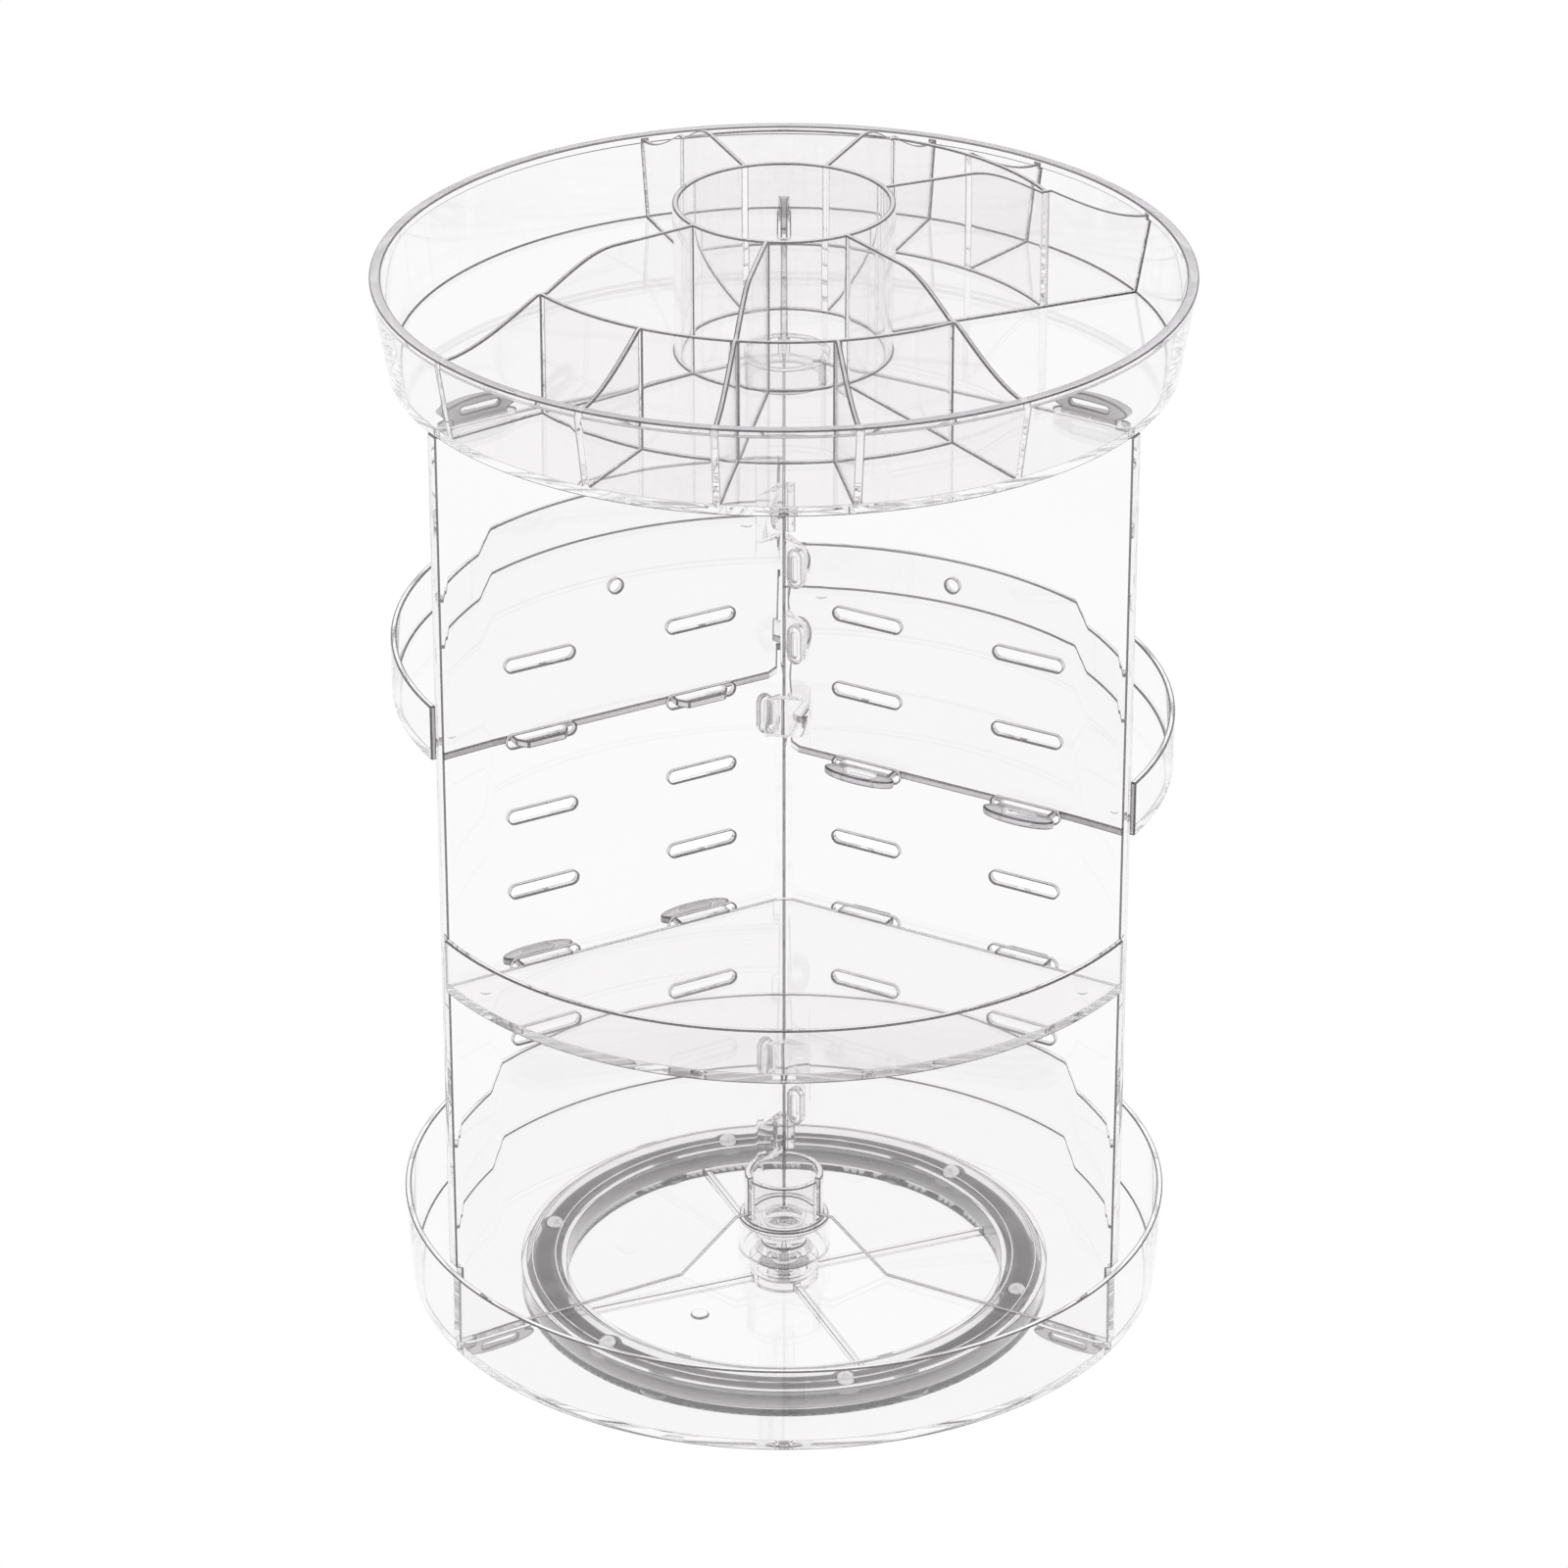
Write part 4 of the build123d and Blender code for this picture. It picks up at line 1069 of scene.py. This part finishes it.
shelf_profile = [
    (CENTRE_RADIUS, -SHELF_DROP),
    (SHELF_RADIUS, -SHELF_DROP),
    (SHELF_RADIUS, SHELF_HEIGHT - SHELF_DROP),
    (SHELF_RADIUS - SHELF_WALL, SHELF_HEIGHT - SHELF_DROP),
    (SHELF_RADIUS - SHELF_WALL, SHELF_FLOOR - SHELF_DROP),
    (CENTRE_RADIUS, SHELF_FLOOR - SHELF_DROP),
]
shelf = clear_slots(turned("shelf_model", shelf_profile, BIG_STEPS), BODY)
shelf_reach = SHELF_SIDE + PANEL_HALF + SNAP_GAP
tongue_half = LOOP_NECK / 2
tongue_tip = tongue_half - TONGUE_TAPER
tongue = [
    (tongue_half, 0),
    (tongue_half, shelf_reach),
    (tongue_tip, shelf_reach + TONGUE_LENGTH),
    (-tongue_tip, shelf_reach + TONGUE_LENGTH),
    (-tongue_half, shelf_reach),
    (-tongue_half, 0),
]
shelf_outline = side_points(-1, SHELF_INNER, [(0, 0)])
for column in SLOT_COLUMNS:
    shelf_outline += side_points(-1, column, loop_outline(shelf_reach, LOOP_DEPTH))
shelf_outline += side_points(-1, OUTLINE_RADIUS, [(0, 0)])
shelf_outline += [on_circle(OUTLINE_RADIUS, radians(angle))[:2] for angle in range(-50, 51, 10)]
shelf_outline += side_points(1, OUTLINE_RADIUS, [(0, 0)])
for column in reversed(SLOT_COLUMNS):
    shelf_outline += side_points(1, column, tongue)
shelf_outline += side_points(1, SHELF_INNER, [(0, 0)])
combine(shelf, [flat_shape(shelf_outline, OUTLINE_RADIUS, Matrix.Identity(4))], "INTERSECT")
loop_along, loop_away = side_frame(-1)
loop_root = shelf_reach - SHELF_SIDE
loop_middle = loop_root + LOOP_DEPTH / 2
for distance in (loop_root, loop_middle):
    split_faces(shelf, loop_away * distance, loop_away)
eyes = []
eye_middles = [loop_along * column + loop_away * loop_middle for column in SLOT_COLUMNS]
for eye_middle in eye_middles:
    eye = long_hole(SHELF_EYE_LENGTH, SHELF_EYE_WIDTH, CUT_DEPTH)
    eyes.append(set_in_place(eye, frame_at(eye_middle, loop_along, loop_away)))
combine(shelf, eyes, "DIFFERENCE", tidy=False)
# The loops' upper faces, and below the upright faces along both straight sides, take the grey side tint, which
# is painted shade.
for polygon in shelf.data.polygons:
    if polygon.center.dot(loop_away) > loop_root + SIDE_MARGIN and polygon.normal.z > 0.5:
        polygon.material_index = SIDE
studs = []
for side in (-1, 1):
    along, away = side_frame(side)
    for polygon in shelf.data.polygons:
        if abs(polygon.normal.z) < 0.1 and polygon.center.dot(away) > -SHELF_SIDE - SIDE_MARGIN:
            polygon.material_index = SIDE
    stud_profile = [
        (STUD_RADIUS * 0.4, SHELF_FLOOR - SHELF_DROP + STUD_HEIGHT),
        (STUD_RADIUS * 0.75, SHELF_FLOOR - SHELF_DROP + 0.8 * STUD_HEIGHT),
        (STUD_RADIUS, SHELF_FLOOR - SHELF_DROP),
        (STUD_RADIUS, SHELF_FLOOR - SHELF_DROP - STUD_HEIGHT),
    ]
    stud = turned("stud_model", stud_profile, PAD_STEPS)
    stud_place = along * (SHELF_RADIUS - STUD_INSET) - away * STUD_SIDE
    studs.append(set_in_place(stud, Matrix.Translation(stud_place)))
combine(shelf, studs, "UNION", tidy=False)
for name, azimuth in SHELF_AZIMUTHS.items():
    row_height = SLOT_FIRST - (SHELF_ROWS[name] - 1) * SLOT_PITCH
    tray = copied(shelf, f"{name}_moulding", azimuth, (0, 0, row_height))
    finish_clear(tray, SHELF_ROUND, name, "carousel")
    # Faces round the loops' eyes that are not level go back to the plain clear plastic, without painted shade.
    turn = Matrix.Rotation(azimuth, 3, "Z")
    for polygon in tray.data.polygons:
        level = abs(polygon.normal.z) > 0.99
        for eye_middle in eye_middles:
            offset = turn.transposed() @ polygon.center - eye_middle
            inside_length = abs(offset.dot(loop_along)) < SHELF_EYE_LENGTH / 2 + SHELF_ROUND
            inside_width = abs(offset.dot(loop_away)) < SHELF_EYE_WIDTH / 2 + SHELF_ROUND
            if inside_length and inside_width and not level:
                polygon.material_index = BODY
bpy.data.objects.remove(shelf)


# Top tray: the round divided tray on top, with a tall cup in its middle and S-topped walls.
# One clear injection moulding; the panels' upper loops snap through its floor and a ring under it takes
# their inner corners.
TOP_BOTTOM = 0.3086
TOP_DECK = 0.3111
RIM_TOP = 0.3358
TOP_RADIUS_BOTTOM = 0.1134
TOP_RADIUS_TOP = 0.118
TOP_WALL = 0.002
LIP_WIDTH = 0.0034
LIP_HEIGHT = 0.0024
CUP_RADIUS = 0.0317
CUP_WALL = 0.0018
CUP_TOP = 0.356
WALL_THICK = 0.0016
SHOULDER_RADIUS = 0.058
ARC_RADIUS = 0.082
ARC_TOP = 0.347
ARC_SLOPE = -0.554
SHORT_SLOPE = -0.6
LANDING = 0.0032
LONG_WALLS = [radians(a) for a in (-145, -99.35, -55.35, 23, 67.2, 111.35)]
SHORT_WALLS = [radians(a) for a in (-118.65, -79.8, 49)]
ARC_SPANS = [(LONG_WALLS[0], LONG_WALLS[2]), (LONG_WALLS[3], LONG_WALLS[5])]
WALL_STEPS = 12
ARC_STEPS = 45
UNDER_RING_RADIUS = 0.0137
UNDER_RING_WALL = 0.002
UNDER_RING_BOTTOM = 0.3006
UNDER_RING_STEPS = 36
SINK = 0.0004
TOP_ROUND = 0.00045


def swept_height(radius, start, end):
    """Height on a smooth curve between two (radius, height, slope) points."""
    span = end[0] - start[0]
    t = (radius - start[0]) / span
    rise = end[1] - start[1]
    ease = t * t * (3 - 2 * t)
    return start[1] + rise * ease + span * (start[2] * t * (1 - t) ** 2 + end[2] * t * t * (t - 1))


def radial_wall(azimuth, runs):
    """An upright wall on a radius, whose top edge follows level runs and smooth curves."""
    top_edge = [runs[0][0][:2]]
    for start, end in runs:
        steps = 1 if start[1] == end[1] else WALL_STEPS
        for step in range(1, steps + 1):
            radius = start[0] + (end[0] - start[0]) * step / steps
            top_edge.append((radius, swept_height(radius, start, end)))
    start_radius = top_edge[0][0]
    end_radius = top_edge[-1][0]
    foot_end = TOP_RADIUS_BOTTOM - TOP_WALL / 2
    bpy.ops.object.select_all(action="DESELECT")
    bpy.ops.mesh.primitive_grid_add(x_subdivisions=len(top_edge) - 1, y_subdivisions=1, size=2)
    wall = bpy.context.object
    for number, vertex in enumerate(wall.data.vertices):
        radius, height = top_edge[number % len(top_edge)]
        if vertex.co.y < 0:
            share = (radius - start_radius) / (end_radius - start_radius)
            radius = start_radius + (foot_end - start_radius) * share
            height = TOP_DECK - SINK
        vertex.co = (radius, 0, height)
    thicken = wall.modifiers.new("thickness", "SOLIDIFY")
    thicken.thickness = WALL_THICK
    thicken.offset = 0
    bpy.ops.object.modifier_apply(modifier=thicken.name)
    wall.rotation_euler = (0, 0, azimuth)
    bpy.ops.object.transform_apply(location=True, rotation=True, scale=True)
    return wall


def arc_wall(start, end):
    """A curved wall: its upright section spun about the axis from one long wall to another."""
    section = [
        (ARC_RADIUS - WALL_THICK / 2, TOP_DECK - SINK),
        (ARC_RADIUS + WALL_THICK / 2, TOP_DECK - SINK),
        (ARC_RADIUS + WALL_THICK / 2, ARC_TOP),
        (ARC_RADIUS - WALL_THICK / 2, ARC_TOP),
    ]
    bpy.ops.object.select_all(action="DESELECT")
    bpy.ops.mesh.primitive_circle_add(vertices=len(section), fill_type="NGON")
    wall = bpy.context.object
    for vertex, (radius, height) in zip(wall.data.vertices, section):
        vertex.co = on_circle(radius, start, height)
    bpy.ops.object.mode_set(mode="EDIT")
    bpy.ops.mesh.select_all(action="SELECT")
    bpy.ops.mesh.spin(steps=ARC_STEPS, angle=end - start, center=(0, 0, 0), axis=(0, 0, -1))
    bpy.ops.mesh.select_all(action="SELECT")
    bpy.ops.mesh.remove_doubles(threshold=MERGE_GAP)
    bpy.ops.mesh.normals_make_consistent(inside=False)
    bpy.ops.object.mode_set(mode="OBJECT")
    return wall


lip_share = (RIM_TOP - LIP_HEIGHT - TOP_BOTTOM) / (RIM_TOP - TOP_BOTTOM)
wall_under_lip = TOP_RADIUS_BOTTOM + (TOP_RADIUS_TOP - TOP_RADIUS_BOTTOM) * lip_share - TOP_WALL
top_profile = [
    (CENTRE_RADIUS, TOP_BOTTOM),
    (TOP_RADIUS_BOTTOM, TOP_BOTTOM),
    (TOP_RADIUS_TOP, RIM_TOP),
    (TOP_RADIUS_TOP - LIP_WIDTH, RIM_TOP),
    (TOP_RADIUS_TOP - LIP_WIDTH, RIM_TOP - LIP_HEIGHT),
    (wall_under_lip, RIM_TOP - LIP_HEIGHT),
    (TOP_RADIUS_BOTTOM - TOP_WALL, TOP_DECK),
    (CUP_RADIUS, TOP_DECK),
    (CUP_RADIUS, CUP_TOP),
    (CUP_RADIUS - CUP_WALL, CUP_TOP),
    (CUP_RADIUS - CUP_WALL, TOP_DECK),
    (CENTRE_RADIUS, TOP_DECK),
]
rim_knot = (TOP_RADIUS_TOP - LIP_WIDTH / 2, RIM_TOP - LIP_HEIGHT / 2, 0.0)
landing_start = ARC_RADIUS - LANDING / 2
landing_end = ARC_RADIUS + LANDING / 2
long_runs = [
    ((CUP_RADIUS - CUP_WALL / 2, CUP_TOP, 0.0), (SHOULDER_RADIUS, CUP_TOP, 0.0)),
    ((SHOULDER_RADIUS, CUP_TOP, 0.0), (landing_start, ARC_TOP, ARC_SLOPE)),
    ((landing_start, ARC_TOP, 0.0), (landing_end, ARC_TOP, 0.0)),
    ((landing_end, ARC_TOP, ARC_SLOPE), rim_knot),
]
short_runs = [
    ((ARC_RADIUS, ARC_TOP, 0.0), (landing_end, ARC_TOP, 0.0)),
    ((landing_end, ARC_TOP, SHORT_SLOPE), rim_knot),
]
under_ring_profile = [
    (UNDER_RING_RADIUS, UNDER_RING_BOTTOM),
    (UNDER_RING_RADIUS, TOP_BOTTOM + SINK),
    (UNDER_RING_RADIUS - UNDER_RING_WALL, TOP_BOTTOM + SINK),
    (UNDER_RING_RADIUS - UNDER_RING_WALL, UNDER_RING_BOTTOM),
    (UNDER_RING_RADIUS, UNDER_RING_BOTTOM),
]
under_slots = socket_slots(UNDER_RING_RADIUS, UNDER_RING_WALL, UNDER_RING_BOTTOM - SINK, TOP_BOTTOM - SLOT_LIFT)
under_ring = combine(turned("under_ring", under_ring_profile, UNDER_RING_STEPS), under_slots, "DIFFERENCE")
top_tray = clear_slots(turned("top_tray_moulding", top_profile, BIG_STEPS), BODY)
top_walls = [radial_wall(azimuth, long_runs) for azimuth in LONG_WALLS]
top_walls += [radial_wall(azimuth, short_runs) for azimuth in SHORT_WALLS]
top_walls += [arc_wall(start, end) for start, end in ARC_SPANS]
combine(top_tray, [*top_walls, under_ring], "UNION")
combine(top_tray, floor_slots((TOP_BOTTOM + TOP_DECK) / 2, 2 * (TOP_DECK - TOP_BOTTOM)), "DIFFERENCE")
finish_clear(top_tray, TOP_ROUND, "top_tray", "carousel")
# Upward faces of the walls and cup above the floor take the grey side tint, which is painted shade.
for polygon in top_tray.data.polygons:
    above_floor = polygon.center.z > TOP_DECK + LIP_HEIGHT
    inside_rim = polygon.center.xy.length < TOP_RADIUS_TOP - LIP_WIDTH
    if polygon.material_index == BODY and polygon.normal.z > 0.5 and above_floor and inside_rim:
        polygon.material_index = SIDE


# Studio: a white table that glows evenly and pale surroundings that darken overhead.
# The bright ground shows through the clear plastic, and the darker ceiling draws its edges.
TABLE_SIZE = 14.0
TABLE_DROP = 0.0002
bpy.ops.object.select_all(action="DESELECT")
bpy.ops.mesh.primitive_plane_add(size=TABLE_SIZE, location=(0, 0, -TABLE_DROP))
table = bpy.context.object
table.name = "table"
table_white = bpy.data.materials.new("table_white")
table_white.use_nodes = True
glow = table_white.node_tree.nodes["Principled BSDF"]
glow.inputs["Base Color"].default_value = (0, 0, 0, 1)
glow.inputs["Roughness"].default_value = 0.9
glow.inputs["Specular IOR Level"].default_value = 0.0
glow.inputs["Emission Color"].default_value = (1, 1, 1, 1)
glow.inputs["Emission Strength"].default_value = 1.0
table.data.materials.append(table_white)

studio = bpy.data.worlds.new("studio")
bpy.context.scene.world = studio
studio.use_nodes = True
air = studio.node_tree.nodes["Background"]
sky = studio.node_tree.nodes.new("ShaderNodeTexCoord")
up = studio.node_tree.nodes.new("ShaderNodeSeparateXYZ")
ceiling = studio.node_tree.nodes.new("ShaderNodeValToRGB")
ceiling.color_ramp.elements[0].position = 0.6
ceiling.color_ramp.elements[0].color = (1, 1, 1, 1)
ceiling.color_ramp.elements[1].position = 0.85
ceiling.color_ramp.elements[1].color = (0.9, 0.9, 0.9, 1)
studio.node_tree.links.new(sky.outputs["Generated"], up.inputs["Vector"])
studio.node_tree.links.new(up.outputs["Z"], ceiling.inputs["Fac"])
studio.node_tree.links.new(ceiling.outputs["Color"], air.inputs["Color"])

# Camera: straight on to the open front compartment and a little above.
CAMERA_PLACE = (0, -1.6926, 1.0095)
CAMERA_PITCH = radians(63.676)
CAMERA_LENS = 146.62
camera_data = bpy.data.cameras.new("camera")
camera_data.lens = CAMERA_LENS
camera_data.sensor_width = 36
camera = bpy.data.objects.new("camera", camera_data)
camera.location = CAMERA_PLACE
camera.rotation_euler = (CAMERA_PITCH, 0, 0)
bpy.context.collection.objects.link(camera)
scene = bpy.context.scene
scene.camera = camera
scene.view_settings.view_transform = "Standard"
scene.cycles.max_bounces = 160
scene.cycles.transmission_bounces = 160
scene.cycles.glossy_bounces = 160
scene.cycles.transparent_max_bounces = 40
scene.cycles.use_denoising = True
